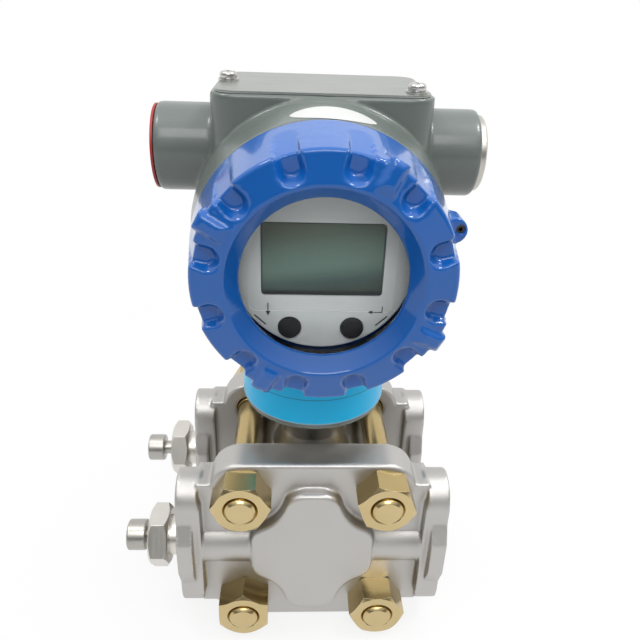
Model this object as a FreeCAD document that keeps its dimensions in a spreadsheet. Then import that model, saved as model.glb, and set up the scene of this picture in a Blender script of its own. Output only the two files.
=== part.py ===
import FreeCAD, Part
import Sketcher
import math
import os

# A differential pressure transmitter that stands on its two process heads.
# Millimetres, +Z up, the viewer in front at -Y. The origin is on the floor, below the middle of
# the whole part. The upright neck axis, the port axes and the cap axis carry all the pieces.

SIZES = {
    # Main axes: the neck from the origin, the process ports and the caps above the floor.
    "neck_x": 8.85,
    "neck_y": -9.0,
    "port_height": 39.5,
    "cap_axis_height": 159.9,
    # Process heads: two equal castings, back to back, with the meter body between them.
    "head_gap": 39.0,
    "port_spacing": 54.0,
    "plate_depth": 13.5,
    "plate_side_step": 12.5,
    "plate_height": 79.0,
    "plate_corner": 12.0,
    "web_side_step": 7.5,
    "web_height": 61.0,
    "head_width": 102.0,
    "ear_depth": 9.0,
    "ear_radius": 10.3,
    "adapter_spacing": 41.3,
    "pad_depth": 6.0,
    "pad_width": 28.0,
    "pad_flat": 14.0,
    "pad_height": 31.0,
    "bar_radius": 10.0,
    "boss_rise": 5.0,
    "boss_width": 47.0,
    "boss_height": 58.8,
    "boss_corner": 8.0,
    "nut_clearance_radius": 16.5,
    "cast_rounding": 1.6,
    "port_radius": 5.9,
    "port_depth": 15.0,
    "passage_radius": 2.5,
    "chamber_passage_radius": 2.0,
    "adapter_hole_radius": 4.95,
    "bracket_hole_radius": 4.25,
    "adapter_hole_depth": 14.0,
    "chamber_radius": 20.0,
    "chamber_depth": 1.2,
    "gasket_outer": 25.0,
    "gasket_inner": 21.5,
    "gasket_depth": 1.6,
    # Head bolts and heavy hexagon nuts.
    "bolt_spacing_x": 52.9,
    "bolt_spacing_z": 55.5,
    "bolt_radius": 5.55,
    "bolt_waist_radius": 5.0,
    "bolt_hole_radius": 5.8,
    "bolt_stand_out": 1.4,
    "bolt_chamfer": 1.0,
    "bolt_head_height": 7.5,
    "hexagon_flats": 19.05,
    "nut_height": 10.5,
    "hexagon_face_radius": 10.1,
    "hexagon_chamfer": 1.2,
    "nut_sink": 0.8,
    "thread_clearance": 0.05,
    "edge_break": 0.5,
    # Meter body: a welded disc with a neck that turns in the housing collar.
    "disc_radius": 31.0,
    "diaphragm_radius": 19.6,
    "diaphragm_thickness": 0.3,
    "diaphragm_wave": 0.35,
    "diaphragm_recess": 0.9,
    "neck_radius": 12.5,
    "neck_foot_radius": 17.0,
    "spigot_radius": 16.0,
    "spigot_length": 19.0,
    "turning_clearance": 0.08,
    "seat_gap": 0.3,
    # Vent plugs and stems at the left ends of the heads.
    "plug_collar_radius": 7.6,
    "plug_collar_length": 4.0,
    "plug_flats": 21.6,
    "plug_hexagon_length": 7.6,
    "plug_face_radius": 10.2,
    "plug_chamfer": 2.1,
    "plug_thread_length": 12.0,
    "stem_radius": 3.0,
    "stem_neck_length": 1.8,
    "stem_head_radius": 5.9,
    "stem_head_length": 7.3,
    "rear_stem_stand_out": 2.3,
    # Housing casting: barrel, turret, conduit bosses and collar.
    "barrel_radius": 42.8,
    "rim_radius": 40.4,
    "barrel_front": 28.9,
    "barrel_rear": 50.0,
    "barrel_taper_length": 18.0,
    "cap_thread_radius": 35.0,
    "cap_thread_depth": 12.5,
    "cavity_radius": 33.0,
    "wall_front": 6.0,
    "wall_rear": 2.0,
    "turret_width": 71.0,
    "turret_front": 11.0,
    "turret_rear": 38.0,
    "turret_height": 44.0,
    "turret_corner": 8.0,
    "conduit_y": 13.5,
    "conduit_height": 22.5,
    "conduit_boss_radius": 14.9,
    "conduit_left": 55.4,
    "conduit_right": 54.3,
    "conduit_bore_radius": 10.3,
    "conduit_rounding": 1.5,
    "collar_radius": 27.0,
    "collar_foot": 69.3,
    "wire_way_radius": 4.0,
    "wire_way_place": 9.0,
    "label_thickness": 0.3,
    "label_height": 22.0,
    "label_lift": 2.5,
    "label_half_angle": 112.0,
    # Caps: tapered rings with finger scallops, flutes and wrench lugs.
    "cap_rear_radius": 40.65,
    "cap_front_radius": 37.9,
    "cap_edge_depth": 22.0,
    "cap_edge_rounding": 1.7,
    "bevel_radius": 28.35,
    "cap_depth": 25.4,
    "window_radius": 24.1,
    "window_depth": 20.4,
    "lip_depth": 19.4,
    "skirt_length": 10.0,
    "skirt_inner": 31.0,
    "blank_cap_depth": 22.3,
    "blank_cap_wall": 5.0,
    "blank_cap_recess": 1.2,
    "scallop_width": 9.0,
    "scallop_end_radius": 29.2,
    "scallop_draft": 27.0,
    "scallop_cut": 4.2,
    "flute_width": 6.8,
    "flute_depth": 1.2,
    "flute_start": 2.5,
    "grip_turn": -2.0,
    "lug_width": 3.0,
    "lug_rise": 1.5,
    "lug_root": 4.5,
    "lug_ramp": 2.3,
    "lug_foot": 0.3,
    "lug_inner_radius": 30.2,
    "lug_outer_radius": 39.5,
    "lug_end_chamfer": 1.2,
    "lock_ear_radius": 44.0,
    "lock_ear_width": 8.0,
    "lock_ear_depth": 8.0,
    "lock_ear_angle": 16.0,
    "lock_ear_wall": 0.8,
    "lock_screw_radius": 1.3,
    "lock_screw_sink": 0.6,
    "seal_section_radius": 1.0,
    "seal_groove_place": 4.0,
    "seal_play": 0.15,
    # Window and display.
    "glass_radius": 28.0,
    "glass_thickness": 5.0,
    "glass_gasket_thickness": 0.8,
    "glass_gasket_inner": 24.7,
    "glass_play": 0.3,
    "retainer_thickness": 1.8,
    "retainer_inner": 26.8,
    "display_depth": 8.8,
    "bezel_radius": 27.7,
    "bezel_thickness": 3.0,
    "screen_width": 36.8,
    "screen_height": 23.2,
    "screen_lift": 1.7,
    "screen_sink": 0.5,
    "screen_play": 0.1,
    "frame_width": 44.0,
    "frame_height": 31.0,
    "frame_sink": 0.4,
    "frame_corner": 2.0,
    "frame_drop": 1.2,
    "button_spacing": 19.4,
    "button_drop": 20.6,
    "button_radius": 3.6,
    "button_clearance": 0.15,
    "button_rise": 1.0,
    "button_travel": 0.8,
    "button_stop": 0.1,
    "board_thickness": 1.6,
    "module_radius": 29.0,
    "module_length": 19.0,
    "socket_width": 18.0,
    "socket_height": 8.0,
    # Rear compartment.
    "block_radius": 26.0,
    "block_drop": 8.0,
    "block_thickness": 11.0,
    "terminal_pitch": 13.0,
    "terminal_radius": 3.4,
    "terminal_head_height": 2.2,
    "terminal_slot": 0.8,
    "terminal_well_play": 0.6,
    "shelf_gap": 4.0,
    # Name plate, conduit plugs and the neck's set screw.
    "name_plate_width": 68.0,
    "name_plate_margin": 0.8,
    "name_plate_thickness": 0.8,
    "name_plate_corner": 6.5,
    "plate_screw_left_x": 31.0,
    "plate_screw_left_y": 13.0,
    "plate_screw_right_x": 29.4,
    "plate_screw_right_y": 4.0,
    "plate_screw_radius": 1.5,
    "plate_screw_head_radius": 2.9,
    "plate_screw_head_height": 2.2,
    "plate_screw_length": 6.0,
    "washer_radius": 3.4,
    "washer_thickness": 0.8,
    "metal_plug_rise": 2.0,
    "metal_plug_radius": 13.0,
    "metal_plug_socket": 8.0,
    "dust_plug_rise": 0.8,
    "dust_plug_radius": 14.2,
    "conduit_plug_length": 11.0,
    "dust_plug_wall": 1.2,
    "set_screw_radius": 2.0,
    "set_screw_length": 10.7,
    "set_screw_sink": 0.3,
}


class Size:
    """A size: its number now, and the spreadsheet expression that keeps it."""

    def __init__(self, value, text):
        self.value = value
        self.text = text

    def joined(self, sign, other, value, turned=False):
        first, second = (other.text, self.text) if turned else (self.text, other.text)
        return Size(value, f"({first} {sign} {second})")

    def __add__(self, other):
        other = as_size(other)
        return self.joined("+", other, self.value + other.value)

    def __radd__(self, other):
        return self + other

    def __sub__(self, other):
        other = as_size(other)
        return self.joined("-", other, self.value - other.value)

    def __rsub__(self, other):
        other = as_size(other)
        return self.joined("-", other, other.value - self.value, turned=True)

    def __mul__(self, other):
        other = as_size(other)
        return self.joined("*", other, self.value * other.value)

    def __rmul__(self, other):
        return self * other

    def __truediv__(self, other):
        other = as_size(other)
        return self.joined("/", other, self.value / other.value)

    def __neg__(self):
        return self * -1


def as_size(number):
    return number if isinstance(number, Size) else Size(float(number), f"{float(number):.9f}")


class Sizes:
    """The spreadsheet of driving sizes, each one an attribute."""

    def __init__(self, document):
        sheet = document.addObject("Spreadsheet::Sheet", "Sizes")
        for row, (name, value) in enumerate(SIZES.items(), 1):
            sheet.set(f"A{row}", name)
            sheet.set(f"B{row}", str(value))
            sheet.setAlias(f"B{row}", name)
            setattr(self, name, Size(float(value), f"Sizes.{name}"))
        document.recompute()


document = FreeCAD.newDocument("pressure_transmitter")
size = Sizes(document)
pieces = []

# Sizes that follow from the driving ones.
PORT_OFFSET = (size.port_spacing - size.head_gap) / 2
HEAD_FACE = size.head_gap / 2 + size.plate_depth
CAP_REAR = size.barrel_front + size.seat_gap
SKIRT_RADIUS = size.cap_thread_radius - size.thread_clearance
COLLAR_BORE = size.spigot_radius + size.turning_clearance
SPIGOT_POCKET = size.spigot_length + size.seat_gap * 2
SET_SCREW_PLACE = size.spigot_length / 2 - size.collar_foot
NECK_SHOULDER = size.cap_axis_height - size.collar_foot - size.seat_gap - size.port_height
GASKET_BACK = size.lip_depth - size.glass_gasket_thickness
GLASS_BACK = GASKET_BACK - size.glass_thickness
RETAINER_BACK = GLASS_BACK - size.retainer_thickness
BLOCK_SHELF = size.conduit_height - size.conduit_bore_radius - size.shelf_gap
LOCK_SCREW_RAY = size.lock_ear_radius - size.lock_ear_wall - size.lock_screw_radius
PLATE_FOOT = size.cap_axis_height + size.turret_height
PLATE_SCREWS = {
    "left": (-size.plate_screw_left_x, size.plate_screw_left_y),
    "right": (size.plate_screw_right_x, -size.plate_screw_right_y),
}
# Each bolt's side, height and how far its nut is turned, in degrees.
BOLTS = {
    "top_left": (-1, 1, 0),
    "top_right": (1, 1, -10),
    "bottom_left": (-1, -1, 30),
    "bottom_right": (1, -1, 2),
}
TURNS = {"front": 0, "right": 90, "back": 180, "left": -90}


def bind(thing, name, amount):
    thing.setExpression(name, as_size(amount).text)


def start(label, x=0, y=0, height=0, facing=None, turn=0):
    """A new body at x, y from the neck axis; its own +Z points where it faces."""
    body = document.addObject("PartDesign::Body", label)
    body.Label = label
    rotation = FreeCAD.Rotation()
    if facing is not None:
        rotation = FreeCAD.Rotation(TURNS[facing], 0, 90)
    rotation = rotation.multiply(FreeCAD.Rotation(FreeCAD.Vector(0, 0, 1), turn))
    body.Placement = FreeCAD.Placement(FreeCAD.Vector(0, 0, 0), rotation)
    bind(body, ".Placement.Base.x", size.neck_x + x)
    bind(body, ".Placement.Base.y", size.neck_y + y)
    bind(body, ".Placement.Base.z", height)
    pieces.append(body)
    return body


def origin_part(body, role):
    return next(part for part in body.Origin.OriginFeatures if part.Role == role)


def new_sketch(body, plane="XY_Plane", height=0):
    sketch = body.newObject("Sketcher::SketchObject", f"{body.Name}_sketch")
    sketch.AttachmentSupport = [(origin_part(body, plane), "")]
    sketch.MapMode = "FlatFace"
    bind(sketch, "AttachmentOffset.Base.z", height)
    return sketch


def hold(sketch, edge, corner, x=None, y=None):
    """Holds one corner of a sketch edge at x, y from the origin."""
    for kind, amount in (("DistanceX", x), ("DistanceY", y)):
        if amount is None:
            continue
        amount = as_size(amount)
        limit = Sketcher.Constraint(kind, -1, 1, edge, corner, amount.value)
        index = sketch.addConstraint(limit)
        name = f"{kind}{edge}_{corner}"
        sketch.renameConstraint(index, name)
        sketch.setExpression(f"Constraints.{name}", amount.text)


def point(x, y):
    return FreeCAD.Vector(as_size(x).value, as_size(y).value, 0)


def outline(sketch, corners):
    """A closed outline. A corner is x, y, or x, y, via_x, via_y where an arc leads to it."""
    ends = []
    for number, corner in enumerate(corners):
        before = point(*corners[number - 1][:2])
        after = point(*corner[:2])
        if len(corner) == 2:
            edge = sketch.addGeometry(Part.LineSegment(before, after), False)
            ends.append((edge, 1, 2))
            continue
        via = point(*corner[2:])
        edge = sketch.addGeometry(Part.Arc(before, via, after), False)
        first, last = ((sketch.getPoint(edge, end) - before).Length for end in (1, 2))
        ends.append((edge, 2, 1) if first > last else (edge, 1, 2))
        mark = sketch.addGeometry(Part.Point(via), True)
        hold(sketch, mark, 1, corner[2], corner[3])
        sketch.addConstraint(Sketcher.Constraint("PointOnObject", mark, 1, edge))
    for number, (edge, _, end) in enumerate(ends):
        following, beginning, _ = ends[(number + 1) % len(ends)]
        sketch.addConstraint(Sketcher.Constraint("Coincident", edge, end, following, beginning))
        hold(sketch, edge, end, *corners[number][:2])


def rectangle_about(width, height, lift=0):
    """The sides of a rectangle whose middle is lifted above the origin."""
    return (-width / 2, lift - height / 2, width / 2, lift + height / 2)


def rectangle(sketch, left, bottom, right, top):
    outline(sketch, [(left, bottom), (right, bottom), (right, top), (left, top)])


def rounded_rectangle(sketch, left, bottom, right, top, radius):
    """A rectangle with round corners, each arc through its middle."""
    cut = radius * (1 - math.cos(math.radians(45)))
    outline(sketch, [
        (left + radius, bottom, left + cut, bottom + cut),
        (right - radius, bottom),
        (right, bottom + radius, right - cut, bottom + cut),
        (right, top - radius),
        (right - radius, top, right - cut, top - cut),
        (left + radius, top),
        (left, top - radius, left + cut, top - cut),
        (left, bottom + radius),
    ])


def circle(sketch, x, y, radius):
    radius = as_size(radius)
    edge = sketch.addGeometry(Part.Circle(point(x, y), FreeCAD.Vector(0, 0, 1), radius.value), False)
    hold(sketch, edge, 3, x, y)
    index = sketch.addConstraint(Sketcher.Constraint("Radius", edge, radius.value))
    sketch.renameConstraint(index, f"radius{edge}")
    sketch.setExpression(f"Constraints.radius{edge}", radius.text)


def hexagon(sketch, flats, x=0, y=0):
    reach = corner_reach(flats)
    angles = [math.radians(60 * side) for side in range(6)]
    outline(sketch, [(x + reach * math.cos(a), y + reach * math.sin(a)) for a in angles])


def corner_reach(flats):
    """The radius of a hexagon's corners."""
    return flats / (2 * math.cos(math.radians(30)))


def cross(sketch, arm, half_width):
    """A cross about the origin, for a screw's recess."""
    outline(sketch, [
        (half_width, half_width),
        (half_width, arm),
        (-half_width, arm),
        (-half_width, half_width),
        (-arm, half_width),
        (-arm, -half_width),
        (-half_width, -half_width),
        (-half_width, -arm),
        (half_width, -arm),
        (half_width, -half_width),
        (arm, -half_width),
        (arm, half_width),
    ])


def feature(body, kind, sketch, length=None, through=False, backward=False, middle=False):
    """A pad or pocket of a sketch."""
    thing = body.newObject(f"PartDesign::{kind}", f"{body.Name}_{kind}")
    thing.Profile = sketch
    if through:
        thing.Type = "ThroughAll"
    else:
        bind(thing, "Length", length)
    thing.Reversed = backward
    thing.Midplane = middle
    body.Tip = thing
    return thing


def pad(body, sketch, length, **ways):
    return feature(body, "Pad", sketch, length, **ways)


def pocket(body, sketch, length=None, **ways):
    return feature(body, "Pocket", sketch, length, through=length is None, **ways)


def turned(body, corners, plane="XZ_Plane", axis="V_Axis", kind="Revolution"):
    """A turned piece, or a turned cut where kind is Groove. Corners are radius, height."""
    sketch = new_sketch(body, plane)
    outline(sketch, corners)
    thing = body.newObject(f"PartDesign::{kind}", f"{body.Name}_{kind}")
    thing.Profile = sketch
    thing.ReferenceAxis = (sketch, [axis])
    thing.Angle = 360
    body.Tip = thing
    return thing


def groove(body, corners, plane="XZ_Plane", axis="V_Axis"):
    return turned(body, corners, plane, axis, "Groove")


def crowned(body, flats, face_radius, drop, end, inward):
    """Cuts a cone at a hexagon's end. Inward is 1 where the hexagon lies above that end, else -1."""
    reach = corner_reach(flats) + 1
    groove(body, [(face_radius, end), (reach, end), (reach, end + inward * drop)])


def around(body, things, count):
    """Repeats features in a circle about the body's own Z."""
    pattern = body.newObject("PartDesign::PolarPattern", f"{body.Name}_pattern")
    pattern.Originals = things
    pattern.Axis = (origin_part(body, "Z_Axis"), [""])
    pattern.Angle = 360
    pattern.Occurrences = count
    body.Tip = pattern
    return pattern


def mirrored(body, things, plane="YZ_Plane"):
    mirror = body.newObject("PartDesign::Mirrored", f"{body.Name}_mirror")
    mirror.Originals = things
    mirror.MirrorPlane = (origin_part(body, plane), [""])
    body.Tip = mirror
    return mirror


def rounded(body, radius, chosen, kind="Fillet"):
    """Rounds or chamfers the edges of the body that the test chooses."""
    document.recompute()
    base = body.Tip
    names = [f"Edge{n}" for n, edge in enumerate(base.Shape.Edges, 1) if chosen(edge)]
    thing = body.newObject(f"PartDesign::{kind}", f"{body.Name}_{kind}")
    thing.Base = (base, names)
    bind(thing, "Radius" if kind == "Fillet" else "Size", radius)
    body.Tip = thing
    return thing


def upright(edge):
    """Whether an edge is straight along the body's own Z."""
    if not isinstance(edge.Curve, Part.Line):
        return False
    return abs(abs(edge.Curve.Direction.z) - 1) < 1e-6


def near(first, second):
    return abs(first - second) < 1e-3


def level(edge, height):
    """Whether an edge lies flat at one height of the body."""
    return near(edge.BoundBox.ZMin, height) and near(edge.BoundBox.ZMax, height)


def four_corners(x, y):
    return [(x * across, y * along) for across in (-1, 1) for along in (-1, 1)]


# Process heads and what they clamp.

def process_head(label, facing, side):
    """A cast head: bolted plate, port bar, raised middle and an ear with tapped holes at each end."""
    body = start(label, 0, side * size.head_gap / 2, size.port_height, facing)
    sketch = new_sketch(body)
    plate_width = size.head_width - size.plate_side_step * 2
    rounded_rectangle(sketch, *rectangle_about(plate_width, size.plate_height), size.plate_corner)
    pad(body, sketch, size.plate_depth)
    sketch = new_sketch(body)
    web_width = size.head_width - size.web_side_step * 2
    rectangle(sketch, *rectangle_about(web_width, size.web_height))
    pad(body, sketch, size.plate_depth)

    ear_start = size.head_width / 2 - size.ear_depth
    ear_top = size.adapter_spacing / 2
    near_side = PORT_OFFSET - size.ear_radius
    far_side = PORT_OFFSET + size.ear_radius
    sketch = new_sketch(body, "YZ_Plane", ear_start)
    outline(sketch, [
        (ear_top, far_side, ear_top + size.ear_radius, PORT_OFFSET),
        (-ear_top, far_side),
        (-ear_top, near_side, -ear_top - size.ear_radius, PORT_OFFSET),
        (ear_top, near_side),
    ])
    ear = pad(body, sketch, size.ear_depth)

    sketch = new_sketch(body, "YZ_Plane", size.head_width / 2 - size.pad_depth)
    half_flat = size.pad_flat / 2
    half_pad = size.pad_height / 2
    side_out = PORT_OFFSET + size.pad_width / 2
    side_in = PORT_OFFSET - size.pad_width / 2
    outline(sketch, [
        (half_flat, side_out),
        (-half_flat, side_out),
        (-half_pad, far_side),
        (-half_pad, near_side),
        (-half_flat, side_in),
        (half_flat, side_in),
        (half_pad, near_side),
        (half_pad, far_side),
    ])
    face = pad(body, sketch, size.pad_depth)

    sketch = new_sketch(body, "YZ_Plane", 0)
    circle(sketch, 0, PORT_OFFSET, size.bar_radius)
    bar = pad(body, sketch, size.head_width / 2 - size.pad_depth / 2)
    mirrored(body, [ear, face, bar])

    sketch = new_sketch(body)
    rectangle(sketch, -ear_start, -half_pad, ear_start, half_pad)
    pocket(body, sketch, size.bar_radius)

    sketch = new_sketch(body)
    rectangle(sketch, *rectangle_about(size.boss_width, size.boss_height))
    pad(body, sketch, size.plate_depth + size.boss_rise)
    sketch = new_sketch(body, height=size.plate_depth + size.boss_rise)
    for x, y in four_corners(size.bolt_spacing_x / 2, size.bolt_spacing_z / 2):
        circle(sketch, x, y, size.nut_clearance_radius)
    pocket(body, sketch, size.boss_rise)
    step = size.boss_rise.value
    rounded(body, size.boss_corner, lambda edge: upright(edge) and near(edge.Length, step))
    face_height = (size.plate_depth + size.boss_rise).value
    rounded(body, size.cast_rounding, lambda edge: level(edge, face_height))
    plate_face = size.plate_depth.value
    rounded(body, size.cast_rounding, lambda edge: level(edge, plate_face) and outer_edge(edge))

    sketch = new_sketch(body)
    for x, y in four_corners(size.bolt_spacing_x / 2, size.bolt_spacing_z / 2):
        circle(sketch, x, y, size.bolt_hole_radius)
    pocket(body, sketch, size.plate_depth * 3, middle=True)
    sketch = new_sketch(body)
    circle(sketch, 0, 0, size.gasket_outer)
    circle(sketch, 0, 0, size.gasket_inner)
    pocket(body, sketch, size.gasket_depth, backward=True)
    sketch = new_sketch(body)
    circle(sketch, 0, 0, size.chamber_radius)
    pocket(body, sketch, size.chamber_depth, backward=True)
    sketch = new_sketch(body)
    circle(sketch, 0, 0, size.chamber_passage_radius)
    pocket(body, sketch, PORT_OFFSET, backward=True)
    sketch = new_sketch(body, "YZ_Plane", 0)
    circle(sketch, 0, PORT_OFFSET, size.passage_radius)
    pocket(body, sketch, size.head_width, middle=True)
    sketch = new_sketch(body, "YZ_Plane", size.head_width / 2)
    circle(sketch, 0, PORT_OFFSET, size.port_radius)
    port = pocket(body, sketch, size.port_depth)
    mirrored(body, [port])
    # The tapped holes for a manifold are on the ported end, and those for a bracket on the other.
    ends = ((1, size.adapter_hole_radius), (-1, size.bracket_hole_radius))
    for end, radius in ends:
        sketch = new_sketch(body, "YZ_Plane", end * side * -size.head_width / 2)
        for top in (ear_top, -ear_top):
            circle(sketch, top, PORT_OFFSET, radius)
        pocket(body, sketch, size.adapter_hole_depth, backward=end * side > 0)


def outer_edge(edge):
    """Whether an edge is on the top, bottom or round corners of the head's plate."""
    middle = edge.valueAt((edge.FirstParameter + edge.LastParameter) / 2)
    return abs(middle.y) > size.web_height.value / 2 + 1


def head_gasket(label, facing, side):
    body = start(label, 0, side * size.head_gap / 2, size.port_height, facing)
    turned(body, [
        (size.gasket_inner, 0),
        (size.gasket_outer, 0),
        (size.gasket_outer, size.gasket_depth),
        (size.gasket_inner, size.gasket_depth),
    ])


def meter_body():
    """A welded disc with a recess in each face, and the neck that carries the housing."""
    body = start("meter_body", 0, 0, size.port_height)
    half = size.head_gap / 2
    floor = half - size.diaphragm_recess
    rim = size.diaphragm_radius + size.thread_clearance
    turned(body, [
        (-floor, 0),
        (-floor, rim),
        (-half, rim),
        (-half, size.disc_radius - 1),
        (1 - half, size.disc_radius),
        (half - 1, size.disc_radius),
        (half, size.disc_radius - 1),
        (half, rim),
        (floor, rim),
        (floor, 0),
    ], "YZ_Plane", "H_Axis")
    foot = size.neck_radius * 2
    waist = size.disc_radius + 4
    shoulder = NECK_SHOULDER
    top = shoulder + size.spigot_length
    flare = size.spigot_radius - size.neck_radius
    turned(body, [
        (0, foot - 5),
        (size.neck_foot_radius, foot),
        (size.neck_radius, waist, size.neck_radius + 1.2, waist - 3.6),
        (size.neck_radius, shoulder - 2 * flare),
        (size.spigot_radius, shoulder, size.neck_radius + flare * 0.3, shoulder - flare * 0.8),
        (size.spigot_radius, top - 1),
        (size.spigot_radius - 1, top),
        (0, top),
    ])


def diaphragm(label, facing, side):
    """A thin disc with ring waves, welded in the meter body's face."""
    body = start(label, 0, side * (size.head_gap / 2 - size.diaphragm_recess), size.port_height, facing)
    thickness = size.diaphragm_thickness
    wave = size.diaphragm_wave
    radius = size.diaphragm_radius
    steps = [radius * share for share in (0.9, 0.72, 0.54, 0.36)]
    upper = []
    for number, step in enumerate(steps):
        upper.append((step, thickness + (wave if number % 2 else 0)))
    turned(body, [(0, 0), (radius, 0), (radius, thickness)] + upper + [(0, thickness)])


def head_bolt(label, x, z):
    """A bolt with its hexagon head behind the rear head and its end just proud of the front nut."""
    body = start(label, x, HEAD_FACE, size.port_height + z, "front")
    length = 2 * HEAD_FACE + size.nut_height + size.bolt_stand_out
    waist_start = size.plate_depth
    waist_end = size.plate_depth + size.head_gap
    turned(body, [
        (0, -size.bolt_head_height / 2),
        (size.bolt_radius, -size.bolt_head_height / 2),
        (size.bolt_radius, waist_start),
        (size.bolt_waist_radius, waist_start + 1),
        (size.bolt_waist_radius, waist_end - 1),
        (size.bolt_radius, waist_end),
        (size.bolt_radius, length - size.bolt_chamfer),
        (size.bolt_radius - size.bolt_chamfer, length),
        (0, length),
    ])
    sketch = new_sketch(body)
    hexagon(sketch, size.hexagon_flats)
    pad(body, sketch, size.bolt_head_height, backward=True)
    crowned(body, size.hexagon_flats, size.hexagon_face_radius, size.hexagon_chamfer,
            -size.bolt_head_height, 1)


def head_nut(label, x, z, turn):
    """A heavy hexagon nut, coned at both ends, with a sunk mouth."""
    body = start(label, x, -HEAD_FACE, size.port_height + z, "front", turn)
    mouth = size.bolt_radius + size.thread_clearance
    top = size.nut_height
    sketch = new_sketch(body)
    hexagon(sketch, size.hexagon_flats)
    circle(sketch, 0, 0, mouth)
    pad(body, sketch, top)
    crowned(body, size.hexagon_flats, size.hexagon_face_radius, size.hexagon_chamfer, top, -1)
    crowned(body, size.hexagon_flats, size.hexagon_face_radius, size.hexagon_chamfer, 0, 1)
    groove(body, [
        (mouth - 1, top),
        (mouth + size.nut_sink, top),
        (mouth, top - size.nut_sink),
        (mouth - 1, top - size.nut_sink),
    ])


def vent_plug(label, side):
    """A hexagon bushing in the head's left port, bored for the vent stem."""
    body = start(label, -size.head_width / 2, side * size.port_spacing / 2, size.port_height, "left")
    collar = size.plug_collar_length
    end = collar + size.plug_hexagon_length
    thread = size.port_radius - size.thread_clearance
    turned(body, [
        (0, -size.plug_thread_length),
        (thread, -size.plug_thread_length),
        (thread, 0),
        (size.plug_collar_radius, 0),
        (size.plug_collar_radius, collar + 1),
        (0, collar + 1),
    ])
    sketch = new_sketch(body, height=collar)
    hexagon(sketch, size.plug_flats)
    pad(body, sketch, size.plug_hexagon_length)
    crowned(body, size.plug_flats, size.plug_face_radius, size.plug_chamfer, end, -1)
    crowned(body, size.plug_flats, size.plug_face_radius, size.plug_chamfer, collar, 1)
    bore = size.stem_radius + size.turning_clearance
    sketch = new_sketch(body, height=end)
    circle(sketch, 0, 0, bore)
    pocket(body, sketch)


def vent_stem(label, side, stand_out):
    """A valve stem: a knob outside, a shank in the plug and a cone at its inner end."""
    body = start(label, -size.head_width / 2, side * size.port_spacing / 2, size.port_height, "left")
    hexagon_end = size.plug_collar_length + size.plug_hexagon_length
    knob = hexagon_end + size.stem_neck_length + stand_out
    end = knob + size.stem_head_length
    radius = size.stem_radius
    rim = size.stem_head_radius
    turned(body, [
        (0, -size.plug_thread_length),
        (radius * 0.4, -size.plug_thread_length),
        (radius, radius - size.plug_thread_length),
        (radius, knob),
        (rim - size.edge_break, knob),
        (rim, knob + size.edge_break),
        (rim, end - size.edge_break),
        (rim - size.edge_break, end),
        (0, end),
    ])


# Housing casting and what is fixed to it.

def housing():
    """A barrel with a chamber at each end, a turret, two conduit bosses and the neck collar."""
    body = start("housing", 0, 0, size.cap_axis_height)
    front = -size.barrel_front
    rear = size.barrel_rear
    taper = size.barrel_taper_length
    turned(body, [
        (front, 0),
        (front, size.rim_radius),
        (front + taper, size.barrel_radius),
        (rear - taper, size.barrel_radius),
        (rear, size.rim_radius),
        (rear, 0),
    ], "YZ_Plane", "H_Axis")

    half = size.turret_width / 2
    sketch = new_sketch(body)
    rounded_rectangle(sketch, -half, -size.turret_front, half, size.turret_rear, size.turret_corner)
    pad(body, sketch, size.turret_height)

    for length, backward in ((size.conduit_right, False), (size.conduit_left, True)):
        sketch = new_sketch(body, "YZ_Plane")
        circle(sketch, size.conduit_y, size.conduit_height, size.conduit_boss_radius)
        pad(body, sketch, length, backward=backward)
    ends = [size.conduit_right.value, -size.conduit_left.value]
    rounded(body, size.conduit_rounding, lambda edge: any(across(edge, end) for end in ends))

    sketch = new_sketch(body)
    circle(sketch, 0, 0, size.collar_radius)
    pad(body, sketch, size.collar_foot, backward=True)

    thread = size.cap_thread_radius
    depth = size.cap_thread_depth
    cavity = size.cavity_radius
    groove(body, [
        (front, 0),
        (front, thread),
        (front + depth, thread),
        (front + depth, cavity),
        (-size.wall_front, cavity),
        (-size.wall_front, 0),
    ], "YZ_Plane", "H_Axis")
    groove(body, [
        (size.wall_rear, 0),
        (size.wall_rear, cavity),
        (rear - depth, cavity),
        (rear - depth, thread),
        (rear, thread),
        (rear, 0),
    ], "YZ_Plane", "H_Axis")

    sketch = new_sketch(body, "YZ_Plane")
    circle(sketch, size.conduit_y, size.conduit_height, size.conduit_bore_radius)
    pocket(body, sketch, size.conduit_left * 4, middle=True)
    sketch = new_sketch(body, height=-size.collar_foot)
    circle(sketch, 0, 0, COLLAR_BORE)
    pocket(body, sketch, SPIGOT_POCKET, backward=True)
    sketch = new_sketch(body, height=SPIGOT_POCKET - size.collar_foot)
    circle(sketch, 0, -size.wire_way_place, size.wire_way_radius)
    pocket(body, sketch, size.collar_foot - SPIGOT_POCKET - cavity / 2, backward=True)

    for x, y in PLATE_SCREWS.values():
        sketch = new_sketch(body, height=size.turret_height)
        circle(sketch, x, y, size.plate_screw_radius + size.thread_clearance)
        pocket(body, sketch, size.plate_screw_length)
    sketch = new_sketch(body, "XZ_Plane", -size.collar_radius)
    circle(sketch, 0, SET_SCREW_PLACE, size.set_screw_radius + size.thread_clearance)
    pocket(body, sketch, size.set_screw_length + 2, backward=True)


def across(edge, x):
    """Whether an edge lies in one plane square to X."""
    return near(edge.BoundBox.XMin, x) and near(edge.BoundBox.XMax, x)


def neck_set_screw():
    """A headless screw in the back of the collar that locks the housing on the neck."""
    body = start("neck_set_screw", 0, size.collar_radius, size.cap_axis_height + SET_SCREW_PLACE, "back")
    radius = size.set_screw_radius
    sink = size.set_screw_sink
    turned(body, [
        (0, -size.set_screw_length),
        (radius - size.edge_break, -size.set_screw_length),
        (radius, size.edge_break - size.set_screw_length),
        (radius, -sink),
        (0, -sink),
    ])
    sketch = new_sketch(body, height=-sink)
    hexagon(sketch, radius)
    pocket(body, sketch, radius)


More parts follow.
